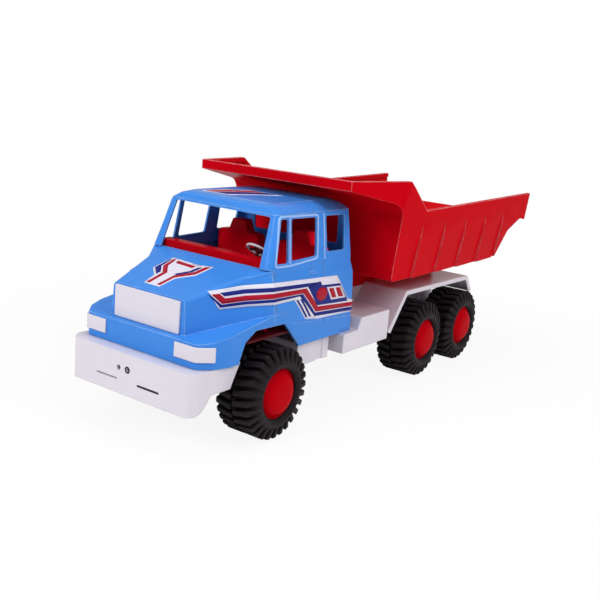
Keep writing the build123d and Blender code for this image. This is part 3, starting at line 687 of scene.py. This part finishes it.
@dataclass
class Mouldings(SubAssembly):
    """The truck's plastic mouldings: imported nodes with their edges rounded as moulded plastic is.

    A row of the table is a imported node, or a pair of them with braces for the side; its body; its finish;
    and the rounding of its edges. The corner line gives the height and half width of the cab's rear corner,
    from its lower edge to the belt.
    """

    table: tuple[tuple[str, str, Look, float], ...] = (
        ("chassis_frame", "chassis", Look.WHITE, 0.8),
        ("front_bumper", "chassis", Look.WHITE, 1.0),
        ("hood_shell", "chassis", Look.BLUE, 1.2),
        ("cab_shell", "chassis", Look.BLUE, 0.9),
        ("cab_roof", "chassis", Look.BLUE, 1.2),
        ("grille_panel", "chassis", Look.WHITE, 0.6),
        ("headlamp_{}", "chassis", Look.WHITE, 0.6),
        # The cab floor takes a dark red: painted shade.
        ("interior_floor", "chassis", Look.DARK_RED, 0.5),
        ("dashboard", "chassis", Look.SOFT_RED, 1.2),
        # The seats take a brighter red: painted light.
        ("seat_{}", "chassis", Look.SEAT_RED, 2.0),
        # The steering wheel takes a dark red: painted shade.
        ("steering_wheel", "chassis", Look.DARK_RED, 0.5),
        ("sill_box_{}", "chassis", Look.WHITE, 1.2),
        ("side_tank_{}", "chassis", Look.WHITE, 1.2),
        ("rear_fender_{}", "chassis", Look.WHITE, 0.9),
        ("bed_tub", "bed", Look.RED, 1.1),
    )
    corner_radius: float = 7.0
    corner_margin: float = 3.0
    corner_line: Outline = ((88.0, 93.0), (107.6, 93.0), (107.61, 91.8), (134.0, 91.8), (160.0, 89.5),
                            (171.1, 84.9), (173.0, 84.5), (176.5, 84.5))

    def build(self) -> list[Object]:
        """Round and place every moulding.

        Returns:
            The pieces.
        """
        pieces = []
        for pattern, body, look, rounding in self.table:
            for node in dict.fromkeys(pattern.format(side.word) for side in Side):
                piece = mesh_object(f"{node}_moulding", cad_shape(node))
                if node == "cab_shell":
                    self.round_rear_corners(piece)
                round_edges(piece, rounding)
                self.mount(piece, body, look, (node,))
                pieces.append(piece)
        return pieces

    def round_rear_corners(self, piece: Object) -> None:
        """Round the two upright rear corners of the cab below its windows, as they are above.

        Args:
            piece: The cab's moulding.
        """
        rear = max(vert.co.y for vert in piece.data.vertices)
        radius, margin = self.corner_radius * MM, self.corner_margin * MM
        cutter = bmesh.new()
        for side in Side:
            rows = []
            for height, half_width in self.corner_line:
                outer = half_width * MM
                outline = arc((outer - radius, rear - radius), radius, 90.0, -90.0)
                outline += [(outer + margin, rear - radius), (outer + margin, rear + margin),
                            (outer - radius, rear + margin)]
                rows.append([cutter.verts.new((side.value * x, y, height * MM)) for x, y in outline])
            skin_rings(cutter, rows, looped=False)
        tool = mesh_object("corner_cutter", cutter)
        cut = piece.modifiers.new("rear_corners", "BOOLEAN")
        cut.operation = "DIFFERENCE"
        cut.solver = "EXACT"
        cut.object = tool
        rounded = settled_mesh(piece)
        piece.modifiers.remove(cut)
        piece.data = rounded
        bpy.data.objects.remove(tool, do_unlink=True)


WHITE_FILM, NAVY_FILM, RED_FILM = Look.STICKER_WHITE, Look.STICKER_NAVY, Look.STICKER_RED


@dataclass(frozen=True)
class Motif:
    """One flat shape of a sticker: its film, its corners and its level in the stack."""

    film: Look
    corners: Outline
    level: int = 1


@dataclass
class Stickers(SubAssembly):
    """Printed film stickers in plain stripes and shapes: both cab sides, the hood and the roof.

    Side motifs are (y, z) and top motifs (x, y). A sticker is cut along a grid, the door seams, which it
    bridges, and the body's creases, so that it follows the surface.
    """

    sheet: float = 0.22
    lift: float = 0.2
    bite: float = 0.1
    cell: float = 5.0
    seams: tuple[float, ...] = (-225.0, -137.0, -228.0)
    seam_half: float = 1.4
    seam_bridge: float = 1.5
    creases: tuple[float, ...] = (134.0, 160.0, 172.0)
    side: tuple[Motif, ...] = (
        # backing
        Motif(WHITE_FILM, (
            (-292.5, 158.6), (-228.8, 164.6), (-113.4, 159.1), (-108.4, 153.0), (-90.5, 129.4),
            (-78.5, 126.2), (-78.5, 112.2), (-153.1, 115.0), (-172.7, 118.0), (-194.5, 142.3),
            (-229.6, 142.3), (-283.5, 140.0)), 0),
        # upper, middle and lower stripes
        Motif(NAVY_FILM, (
            (-280.8, 156.3), (-228.8, 160.3), (-146.7, 155.9), (-166.9, 153.2), (-228.8, 156.0),
            (-276.6, 152.7))),
        Motif(RED_FILM, (
            (-290.0, 155.3), (-281.7, 155.6), (-276.2, 150.6), (-228.8, 154.0), (-172.6, 152.0),
            (-150.4, 128.8), (-78.5, 123.7), (-78.5, 118.8), (-154.3, 123.6), (-178.6, 147.4),
            (-228.8, 148.8), (-279.9, 145.4))),
        Motif(NAVY_FILM, (
            (-293.0, 155.6), (-291.1, 154.6), (-280.4, 144.8), (-228.8, 148.2), (-179.4, 146.8),
            (-155.2, 122.6), (-78.5, 117.8), (-78.5, 113.7), (-155.6, 118.6), (-184.8, 145.2),
            (-229.0, 145.0), (-282.2, 142.0))),
        # two slanted bars
        Motif(NAVY_FILM, ((-191.4, 141.8), (-187.9, 141.7), (-169.0, 120.0), (-172.4, 120.1))),
        Motif(NAVY_FILM, ((-184.4, 141.7), (-180.6, 141.6), (-162.2, 119.8), (-165.8, 119.9))),
        # dark field with a disc and a panel of two bars
        Motif(NAVY_FILM, (
            (-170.5, 154.0), (-146.7, 156.6), (-143.6, 151.7), (-107.4, 149.3), (-91.8, 129.1),
            (-91.3, 126.6), (-152.4, 130.5))),
        Motif(RED_FILM, oval((-143.8, 142.0), (10.4, 7.4), 28), 2),
        Motif(WHITE_FILM, ((-134.5, 148.3), (-106.5, 146.6), (-96.0, 131.6), (-125.8, 133.0)), 2),
        Motif(RED_FILM, ((-130.6, 146.4), (-121.6, 145.9), (-115.2, 134.6), (-123.9, 135.0)), 3),
        Motif(RED_FILM, ((-117.4, 145.6), (-108.6, 145.1), (-101.2, 134.0), (-111.0, 134.4)), 3),
    )
    hood: tuple[Motif, ...] = (
        # backing
        Motif(WHITE_FILM, (
            (-18.6, -306.9), (3.6, -307.4), (4.8, -286.3), (19.6, -271.2), (22.4, -247.2), (4.0, -250.6),
            (-36.2, -247.8), (-37.2, -276.6), (-22.2, -289.4)), 0),
        # two red edges, two navy fields and the crown
        Motif(RED_FILM, (
            (2.0, -305.0), (2.6, -285.2), (17.4, -270.0), (20.4, -250.0), (14.4, -251.8), (12.2, -266.6),
            (-1.4, -281.0), (-2.6, -304.4))),
        Motif(RED_FILM, (
            (-17.0, -305.0), (-12.6, -305.2), (-13.6, -279.2), (-25.6, -266.0), (-28.6, -250.6),
            (-32.0, -251.4), (-30.2, -268.4), (-18.2, -281.4))),
        Motif(NAVY_FILM, (
            (0.4, -279.8), (10.6, -266.6), (12.4, -254.4), (8.0, -256.0), (6.2, -266.0), (-3.8, -278.6))),
        Motif(NAVY_FILM, (
            (-35.0, -252.0), (-33.4, -252.6), (-32.0, -269.0), (-21.6, -280.8), (-21.8, -287.0),
            (-35.4, -275.4))),
        Motif(RED_FILM, ((-24.6, -252.4), (4.0, -254.8), (3.0, -259.6), (-22.8, -257.4))),
    )
    roof: tuple[Motif, ...] = (
        # backing, chevron and wing
        Motif(WHITE_FILM, (
            (-46.0, -198.4), (-8.0, -195.6), (4.0, -164.0), (22.0, -136.0), (-24.0, -136.0),
            (-44.0, -162.0)), 0),
        Motif(RED_FILM, (
            (-42.0, -195.4), (-34.0, -194.8), (-24.0, -166.0), (-4.0, -139.6), (-18.0, -139.6),
            (-36.0, -164.0))),
        Motif(NAVY_FILM, (
            (-30.0, -194.4), (-12.0, -193.0), (0.0, -164.0), (15.0, -139.6), (0.0, -139.6), (-20.0, -166.0))),
    )

    def build(self, carriers: list[Object]) -> None:
        """Lay every sticker on the finished mouldings.

        Args:
            carriers: The mouldings that carry stickers.
        """
        surface = finished_surface(carriers)
        for side in Side:
            self.lay(f"side_sticker_{side.word}", self.side, surface, side.out)
        upwards = Vector((0.0, 0.0, 1.0))
        self.lay("hood_sticker", self.hood, surface, upwards)
        self.lay("roof_sticker", self.roof, surface, upwards)

    def lay(self, name: str, motifs: tuple[Motif, ...], surface: BVHTree, out: Vector) -> None:
        """Lay one sticker, a piece for each of its colours.

        Args:
            name: Name that its pieces start with.
            motifs: Its shapes.
            surface: The surface that carries it.
            out: Direction that it faces.
        """
        for look in (WHITE_FILM, NAVY_FILM, RED_FILM):
            shape = bmesh.new()
            for motif in motifs:
                if motif.film is look:
                    self.press_film(shape, motif, surface, out)
            colour = look.value.name.removeprefix("sticker_")
            self.mount(mesh_object(f"{name}_{colour}", shape), "chassis", look)

    def press_film(self, shape: BMesh, motif: Motif, surface: BVHTree, out: Vector) -> None:
        """Add one closed film of a motif, pressed onto the surface.

        Args:
            shape: Mesh that gets the film.
            motif: The flat shape.
            surface: The surface that carries it.
            out: Direction that it faces.
        """
        sideways = bool(out.x)
        flat = bmesh.new()
        corners = [Vector((0.0, a, b)) if sideways else Vector((a, b, 0.0)) for a, b in motif.corners]
        flat.faces.new([flat.verts.new(corner * MM) for corner in corners])
        self.divide(flat, sideways)
        bmesh.ops.triangulate(flat, faces=flat.faces)
        for vert in flat.verts:
            vert.co = self.press(vert.co, surface, out)
        flat.normal_update()
        for face in flat.faces:
            if face.normal.dot(out) < 0.0:
                face.normal_flip()
        top = (self.lift + self.sheet * motif.level) * MM
        under = {vert: shape.verts.new(vert.co - out * self.bite * MM) for vert in flat.verts}
        over = {vert: shape.verts.new(vert.co + out * top) for vert in flat.verts}
        for face in flat.faces:
            shape.faces.new([over[vert] for vert in face.verts])
            shape.faces.new([under[vert] for vert in reversed(face.verts)])
        for edge in flat.edges:
            if edge.is_boundary:
                loop = edge.link_loops[0]
                start, end = loop.vert, loop.link_loop_next.vert
                shape.faces.new((over[end], over[start], under[start], under[end]))
        flat.free()

    def divide(self, flat: BMesh, sideways: bool) -> None:
        """Cut a flat shape along the grid, the seams and the creases.

        Args:
            flat: The shape.
            sideways: Whether it faces a side of the truck.
        """
        cuts: list[tuple[int, float]] = []
        for axis in (1, 2) if sideways else (0, 1):
            values = [vert.co[axis] / MM for vert in flat.verts]
            lines = range(math.ceil(min(values) / self.cell), math.floor(max(values) / self.cell) + 1)
            cuts += [(axis, index * self.cell) for index in lines]
        if sideways:
            cuts += [(2, level) for level in self.creases]
            cuts += [(1, seam + gap) for seam in self.seams for gap in (-self.seam_half, self.seam_half)]
        for axis, value in cuts:
            spot, normal = Vector(), Vector()
            spot[axis] = value * MM
            normal[axis] = 1.0
            everything = [*flat.verts, *flat.edges, *flat.faces]
            bmesh.ops.bisect_plane(flat, geom=everything, dist=0.0001 * MM, plane_co=spot, plane_no=normal)

    def press(self, point: Vector, surface: BVHTree, out: Vector) -> Vector:
        """Find where a point of the flat shape meets the surface; on a side, the highest place near it.

        Args:
            point: Point of the flat shape.
            surface: The surface that carries it.
            out: Direction that the sticker faces.

        Returns:
            The point on the surface.
        """
        reaches = []
        for step in (0.0, -self.seam_bridge, self.seam_bridge) if out.x else (0.0,):
            start = point + out * RAY_START + Vector((0.0, step * MM, 0.0))
            found = surface.ray_cast(start, -out)[0]
            if found is not None:
                reaches.append(found.dot(out))
        if not reaches:
            raise ValueError(f"no surface under the sticker at {tuple(point)}")
        return point - out * point.dot(out) + out * max(reaches)


@dataclass
class WindowBeads(SubAssembly):
    """Raised beads moulded round the door windows, and down the door's rear edge and the quarter post,
    in a paler blue that is a painted highlight.

    Loops and runs are lines of (y, z).
    """

    radius: float = 1.3
    sink: float = 0.4
    step: float = 2.5
    loops: tuple[Outline, ...] = (
        ((-223.2, 179.3), (-197.0, 178.4), (-147.4, 181.5), (-144.2, 228.2), (-194.0, 229.3),
         (-211.8, 229.8)),)
    runs: tuple[Outline, ...] = (((-133.2, 229.0), (-133.8, 179.0)), ((-198.0, 180.6), (-195.2, 228.0)))

    def build(self, carriers: list[Object]) -> None:
        """Lay the beads on both sides of the cab, one piece for each side.

        Args:
            carriers: The mouldings that carry them.
        """
        surface = finished_surface(carriers)
        # The beads get the paler blue: a painted highlight.
        values = {"Radius": self.radius * MM, "Material": self.palette[Look.PALE_BLUE]}
        tree = swept_bead(values["Radius"], values["Material"])
        for side in Side:
            route = bmesh.new()
            for lines, closed in ((self.loops, True), (self.runs, False)):
                for line in lines:
                    self.trace(route, self.eased(line, closed), closed, side, surface)
            shape = bmesh.new()
            shape.from_mesh(run_tree(mesh_object("bead_route", route), tree, values))
            bmesh.ops.recalc_face_normals(shape, faces=shape.faces)
            piece = mesh_object(f"window_beads_{side.word}", shape)
            self.mount(piece, "chassis", Look.PALE_BLUE)

    def eased(self, corners: Outline, closed: bool) -> list[Vector]:
        """Divide a line into short steps, and ease the corners of a closed one.

        Args:
            corners: Corners of the line.
            closed: Whether it is a loop.

        Returns:
            Its points in metres, at X = 0.
        """
        stops = [Vector((0.0, *corner)) * MM for corner in corners]
        points = []
        for start, end in zip(stops, stops[1:] + stops[:1] if closed else stops[1:]):
            count = max(2, round((end - start).length / (self.step * MM)))
            points += [start.lerp(end, index / count) for index in range(count)]
        if not closed:
            return [*points, stops[-1]]
        for _ in range(2):
            neighbours = zip(points[-1:] + points[:-1], points, points[1:] + points[:1])
            points = [(before + point * 2.0 + after) / 4.0 for before, point, after in neighbours]
        return points

    def trace(self, route: BMesh, points: list[Vector], closed: bool, side: Side,
              surface: BVHTree) -> None:
        """Trace the line of one bead on the surface.

        Args:
            route: Mesh that gets the line's edges.
            points: The line, at X = 0.
            closed: Whether it is a loop.
            side: Side of the truck.
            surface: The surface that carries it.
        """
        verts = []
        for point in points:
            found, normal = surface.ray_cast(point + side.out * RAY_START, -side.out)[:2]
            if found is None:
                raise ValueError(f"no surface under the bead at {tuple(point)}")
            verts.append(route.verts.new(found - normal * self.sink * MM))
        for vert, follow in zip(verts, verts[1:] + verts[:1] if closed else verts[1:]):
            route.edges.new((vert, follow))


@dataclass
class SmallFittings(SubAssembly):
    """The steering wheel's pale rim, and dark rims in the bumper's string holes and an inlay in its slot:
    painted shade.

    A hole is the X of its middle and the outer radius of its rim. The slot is its two ends in X.
    """

    rim_radius: float = 13.0
    rim_thickness: float = 1.35
    rim_overlap: float = 1.3
    rim_height: float = 188.2
    rim_tilt: float = -35.0
    holes: Outline = ((-12.5, 2.6), (0.0, 3.7))
    hole_radius: float = 2.05
    hole_height: float = 73.0
    hole_depth: float = 8.0
    proud: float = 0.05
    lip: float = 0.2
    slot: Point = (14.3, 44.7)
    slot_height: float = 60.5
    slot_half_height: float = 1.15
    slot_depth: float = 1.6
    rim_segments: int = 48
    tube_segments: int = 12
    hole_segments: int = 24

    def build(self) -> None:
        """Make the steering wheel's rim, and the painted shade in the bumper's string holes and slot."""
        self.steering_rim(*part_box("steering_wheel"))
        self.bumper_rims(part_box("front_bumper")[0][1])

    def steering_rim(self, low: Vector, high: Vector) -> None:
        """Make the steering wheel's rim.

        Args:
            low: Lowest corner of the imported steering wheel.
            high: Its highest corner.
        """
        section = oval((0.0, self.rim_radius), (self.rim_thickness, self.rim_thickness), self.tube_segments)
        ring = mesh_object("steering_rim", turned(section, self.rim_segments))
        tilt = math.radians(self.rim_tilt)
        axis = Vector((0.0, -math.sin(tilt), math.cos(tilt)))
        reach = (self.rim_radius + self.rim_overlap) * MM * math.cos(tilt)
        centre = Vector(((low[0] + high[0]) / 2.0, low[1] + reach, self.rim_height * MM))
        turn = Vector((1.0, 0.0, 0.0)).rotation_difference(axis).to_matrix().to_4x4()
        ring.data.transform(Matrix.Translation(centre) @ turn)
        self.mount(ring, "chassis", Look.GREY)

    def bumper_rims(self, front: float) -> None:
        """Make the dark rims of the string holes and the inlay of the slot, painted shade in these recesses,
        as one piece.

        Args:
            front: Y of the bumper's front face.
        """
        shape = bmesh.new()
        face, back, deep = front - self.proud * MM, front + self.lip * MM, front + self.hole_depth * MM
        inner, lip = self.hole_radius, self.lip
        for x, outer in self.holes:
            rings = []
            for y, radius in ((deep, inner), (face, inner), (face, outer), (back, outer), (back, outer - lip),
                              (deep, inner + lip)):
                circle = oval((x * MM, self.hole_height * MM), (radius * MM, radius * MM), self.hole_segments)
                rings.append([shape.verts.new((a, y, b)) for a, b in circle])
            skin_rings(shape, rings, looped=True)
        half = self.slot_half_height
        outline = arc((self.slot[1] - half, self.slot_height), half, -90.0, 180.0)
        outline += arc((self.slot[0] + half, self.slot_height), half, 90.0, 180.0)
        skin_rings(shape, [[shape.verts.new((x * MM, y, z * MM)) for x, z in outline]
                           for y in (face, front + self.slot_depth * MM)], looped=False)
        # The holes' rims and the slot's inlay take the dark tyre colour: painted shade.
        self.mount(mesh_object("string_hole_rims", shape), "chassis", Look.TYRE)


@dataclass
class Rods(SubAssembly):
    """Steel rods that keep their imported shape: the axles and the bed's hinge pin."""

    nodes: tuple[str, ...] = ("front_axle", "middle_axle", "rear_axle", "bed_pivot_pin")

    def dress(self) -> None:
        """Give the rods their steel."""
        for node in self.nodes:
            paint(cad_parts[node], self.palette[Look.STEEL])
            log.info("%s keeps its packed shape in steel", node)


@dataclass(frozen=True)
class LugRow:
    """One row of a tyre's lugs.

    Its profile is (x, radius). Its lugs slant from the X of its shoulder to the tread's middle. Its shift
    round the tyre is in steps from lug to lug.
    """

    name: str
    profile: Outline
    shoulder: float
    shift: float


@dataclass
class Wheels(SubAssembly):
    """Six lugged tyres on domed hubs, made once for the left side about the X axis.

    Profiles are (x, radius). The hub's are its edge and its hollow back round its boss, with the dome's
    radii between them.
    """

    lug_count: int = 28
    radius: float = 50.0
    middle: float = 84.5
    foot_radius: float = 34.2
    foot_groove: float = 3.4
    crest_groove: float = 4.7
    slant: float = 4.5
    rounding: float = 1.3
    rows: tuple[LugRow, ...] = (
        LugRow("outer_lug", ((110.2, 34.2), (105.3, 50.0), (84.5, 50.0), (83.5, 41.5), (101.5, 41.5),
                             (106.7, 33.6)), 104.5, 0.0),
        LugRow("inner_lug", ((60.7, 41.0), (63.5, 50.0), (82.0, 50.0), (83.0, 41.5), (62.5, 40.5)),
               63.5, 0.5),
    )
    carcass: Outline = (
        (106.5, 27.0), (107.9, 27.7), (109.3, 29.4), (110.2, 31.4), (110.5, 33.2), (110.3, 34.2),
        (108.3, 36.8), (104.9, 40.4), (101.5, 42.5), (99.5, 43.0), (66.5, 43.0), (62.9, 42.6), (60.9, 40.6),
        (60.5, 38.0), (60.5, 28.0), (61.5, 27.0))
    hub_edge: Outline = ((66.5, 27.0), (105.2, 27.0), (105.6, 26.8), (105.4, 26.5), (103.6, 26.2),
                         (103.4, 25.2), (103.8, 24.8))
    hub_back: Outline = ((104.0, 0.0), (104.0, 3.0), (45.0, 3.0), (45.0, 8.0), (103.0, 8.0), (103.0, 23.2),
                         (66.5, 23.2))
    dome_radii: tuple[float, ...] = (24.6, 24.3, 23.8, 23.2, 22.4, 21.4, 20.8, 20.2, 18.0, 15.0, 12.0, 9.0,
                                     6.0, 3.0, 0.0)
    dome_radius: float = 24.7
    dome_foot: float = 105.4
    dome_rise: float = 8.1
    dome_flatness: float = 6.0
    dome_fall: float = 0.9
    fall_onset: float = 4.0
    line_radius: float = 20.8
    line_depth: float = 0.25
    line_width: float = 0.5
    crest_angle: float = 20.0
    hub_rounding: float = 0.4
    hub_rounding_angle: float = 50.0
    carcass_segments: int = 112
    hub_segments: int = 96

    def lug_half_angle(self, radius: float) -> float:
        """Find half the angle of a lug; the grooves beside it widen towards the tread.

        Args:
            radius: Radius at which it is taken.

        Returns:
            The angle in radians.
        """
        share = (radius - self.foot_radius) / (self.radius - self.foot_radius)
        groove = self.foot_groove + (self.crest_groove - self.foot_groove) * share
        return math.pi / self.lug_count - groove / (2.0 * radius)

    def lug(self, row: LugRow) -> Object:
        """Make one lug at the bottom of the wheel.

        Args:
            row: The lug's row.

        Returns:
            The lug.
        """
        shape = bmesh.new()
        flanks: list[list[BMVert]] = []
        for sign in (1.0, -1.0):
            flank = []
            for x, radius in row.profile:
                run = min(max((x - row.shoulder) / (self.middle - row.shoulder), 0.0), 1.0)
                angle = sign * self.lug_half_angle(radius) + math.radians(self.slant) * run
                across, up = radius * math.sin(angle), -radius * math.cos(angle)
                flank.append(shape.verts.new((x * MM, across * MM, up * MM)))
            flanks.append(flank)
        skin_rings(shape, flanks, looped=False)
        crest = [edge for edge in shape.edges if edge.calc_face_angle(0.0) > math.radians(self.crest_angle)]
        bmesh.ops.bevel(shape, geom=crest, offset=self.rounding * MM, segments=3, affect="EDGES", profile=0.5,
                        clamp_overlap=True)
        return mesh_object(row.name, shape)

    def tyre(self) -> Mesh:
        """Make the left tyre: its carcass and two rows of lugs.

        Returns:
            Its mesh.
        """
        values = {"Count": self.lug_count, "Phase": 0.0, "Material": self.palette[Look.TYRE]}
        tree = ring_of_copies(self.lug_count, 0.0, values["Material"])
        shape = turned(self.carcass, self.carcass_segments)
        for row in self.rows:
            values["Phase"] = row.shift * FULL_TURN / self.lug_count
            shape.from_mesh(run_tree(self.lug(row), tree, values))
        return plain_mesh("tyre_pattern", shape)

    def hub(self) -> Mesh:
        """Turn the left hub: a dome with a faint sunk line, inside a sunk ring, and open at the back.

        Returns:
            Its mesh.
        """
        dome = []
        for radius in self.dome_radii:
            share = radius / self.dome_radius
            rise = 1.0 - share ** self.dome_flatness
            line = self.line_depth * math.exp(-((radius - self.line_radius) / self.line_width) ** 2)
            fall = self.dome_fall * share ** 2 * min(rise * self.fall_onset, 1.0)
            dome.append((self.dome_foot + self.dome_rise * rise - line - fall, radius))
        return plain_mesh("hub_pattern", turned((*self.hub_edge, *dome, *self.hub_back), self.hub_segments))

    def build(self) -> None:
        """Place a tyre and a hub at each end of the three axles."""
        patterns = {"tyre": (self.tyre(), Look.TYRE), "hub": (self.hub(), Look.SOFT_RED)}
        for axle in ("front", "middle", "rear"):
            low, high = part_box(f"{axle}_axle")
            centre = Vector((0.0, (low[1] + high[1]) / 2.0, (low[2] + high[2]) / 2.0))
            for side in Side:
                for part, (pattern, look) in patterns.items():
                    mesh = pattern.copy()
                    mesh.transform(Matrix.Translation(centre) @ Matrix.Diagonal((side.value, 1.0, 1.0, 1.0)))
                    if side is Side.RIGHT:
                        mesh.flip_normals()
                    piece = add_object(f"{axle}_{part}_{side.word}_finished", mesh)
                    if part == "hub":
                        round_edges(piece, self.hub_rounding, 2, self.hub_rounding_angle)
                    self.mount(piece, f"{axle}_wheels", look, (f"{axle}_{part}_{side.word}",))


# Studio


@dataclass(frozen=True)
class Viewpoint:
    """The camera, at the photograph's angle: in front of the truck's left side, a little above it."""

    place: Triple = (0.6007, -0.9099, 0.3565)
    azimuth: float = 35.082
    elevation: float = 13.66
    roll: float = 4.874
    lens: float = 51.33
    clip_start: float = 0.02

    def build(self) -> None:
        """Make the camera and set it as the scene's."""
        azimuth, elevation, roll = map(math.radians, (self.azimuth, self.elevation, self.roll))
        back = Vector((math.sin(azimuth) * math.cos(elevation), -math.cos(azimuth) * math.cos(elevation),
                       math.sin(elevation)))
        level = Vector((math.cos(azimuth), math.sin(azimuth), 0.0))
        rise = back.cross(level)
        right = level * math.cos(roll) + rise * math.sin(roll)
        up = rise * math.cos(roll) - level * math.sin(roll)
        data = bpy.data.cameras.new("viewpoint")
        data.lens = self.lens
        data.clip_start = self.clip_start
        camera = add_object("viewpoint", data)
        camera.matrix_world = Matrix.Translation(self.place) @ Matrix((right, up, back)).transposed().to_4x4()
        bpy.context.scene.camera = camera


@dataclass(frozen=True)
class SoftLight:
    """A large soft lamp that faces the truck; one that isn't mirrored lights surfaces but shows in none."""

    name: str
    place: Triple
    power: float
    size: float
    mirrored: bool = True
    target: Triple = (0.0, 0.0, 0.12)

    def build(self) -> None:
        """Make the lamp."""
        data = bpy.data.lights.new(self.name, "AREA")
        data.energy = self.power
        data.size = self.size
        lamp = add_object(self.name, data)
        lamp.location = self.place
        lamp.visible_glossy = self.mirrored
        aim = Vector(self.target) - Vector(self.place)
        lamp.rotation_euler = aim.to_track_quat("-Z", "Y").to_euler()


def seen_by_camera(rays: NodeOutputs) -> NodeSocket:
    """Return a mask of what the camera sees, directly or through something clear."""
    return calculated("MAXIMUM", rays["Is Camera Ray"], rays["Is Transmission Ray"])


@dataclass
class Studio:
    """A plain pale floor with soft light."""

    floor_half: float = 30.0
    floor_colour: Triple = (0.92, 0.92, 0.92)
    floor_roughness: float = 0.9
    shadow_reach: float = 0.75
    shadow_share: float = 0.9
    world_strength: float = 0.37
    glossy_strength: float = 0.45
    lamps: tuple[SoftLight, ...] = (
        SoftLight("key", (-0.5, -1.95, 1.45), 25.0, 0.9),
        SoftLight("side", (1.7, -0.1, 1.55), 21.0, 1.0, mirrored=False),
        SoftLight("top", (0.1, -0.2, 2.4), 11.0, 1.2),
    )

    def build(self) -> None:
        """Make the floor, the world and the lamps."""
        shape = bmesh.new()
        bmesh.ops.create_grid(shape, x_segments=2, y_segments=2, size=self.floor_half)
        floor = mesh_object("floor", shape, smooth=False)
        paint(floor, self.floor_material())
        bpy.context.scene.world = self.sky()
        for lamp in self.lamps:
            lamp.build()
        bpy.context.scene.view_settings.view_transform = "Standard"

    def sky(self) -> World:
        """Make the surroundings: white where the camera looks, and dimmer as light on the truck.

        Returns:
            The world.
        """
        world = bpy.data.worlds.new("soft_white")
        world.use_nodes = True
        tree = world.node_tree
        rays = add_node(tree, "ShaderNodeLightPath")
        glossy = calculated("MULTIPLY_ADD", rays["Is Glossy Ray"], self.glossy_strength - self.world_strength,
                            self.world_strength)
        strength = calculated("MAXIMUM", seen_by_camera(rays), glossy)
        feed(tree.nodes["Background"], {"Color": opaque((1.0, 1.0, 1.0)), "Strength": strength})
        return world

    def floor_material(self) -> Material:
        """Make the floor: it shows white, and keeps a soft trace of the truck's shadow near the truck.

        Returns:
            The material.
        """
        material = bpy.data.materials.new("pale_floor")
        material.use_nodes = True
        tree = material.node_tree
        shader = tree.nodes["Principled BSDF"]
        feed(shader, {"Base Color": opaque(self.floor_colour), "Roughness": self.floor_roughness})
        glow = add_node(tree, "ShaderNodeEmission", {"Strength": 1.0})[0]
        coords = add_node(tree, "ShaderNodeTexCoord")["Object"]
        distance = add_node(tree, "ShaderNodeVectorMath", {0: coords}, operation="LENGTH")["Value"]
        whiteness = remap(distance, self.shadow_reach * 0.5, self.shadow_reach, self.shadow_share, 1.0)
        seen = seen_by_camera(add_node(tree, "ShaderNodeLightPath"))
        share = calculated("MULTIPLY", seen, whiteness)
        mix = add_node(tree, "ShaderNodeMixShader", {0: share, 1: shader.outputs[0], 2: glow})
        feed(tree.nodes["Material Output"], {"Surface": mix[0]})
        return material


def main() -> None:
    """Build the truck's looks in order, then the studio."""
    logging.basicConfig(level=logging.INFO, format="%(message)s")
    palette = Palette()
    Viewpoint().build()
    mouldings = Mouldings(palette).build()
    carriers = [piece for piece in mouldings if piece.name.startswith(CARRIERS)]
    Stickers(palette).build(carriers)
    WindowBeads(palette).build(carriers)
    SmallFittings(palette).build()
    Wheels(palette).build()
    Rods(palette).dress()
    Studio().build()
    bpy.context.view_layer.update()


if __name__ == "__main__":
    main()
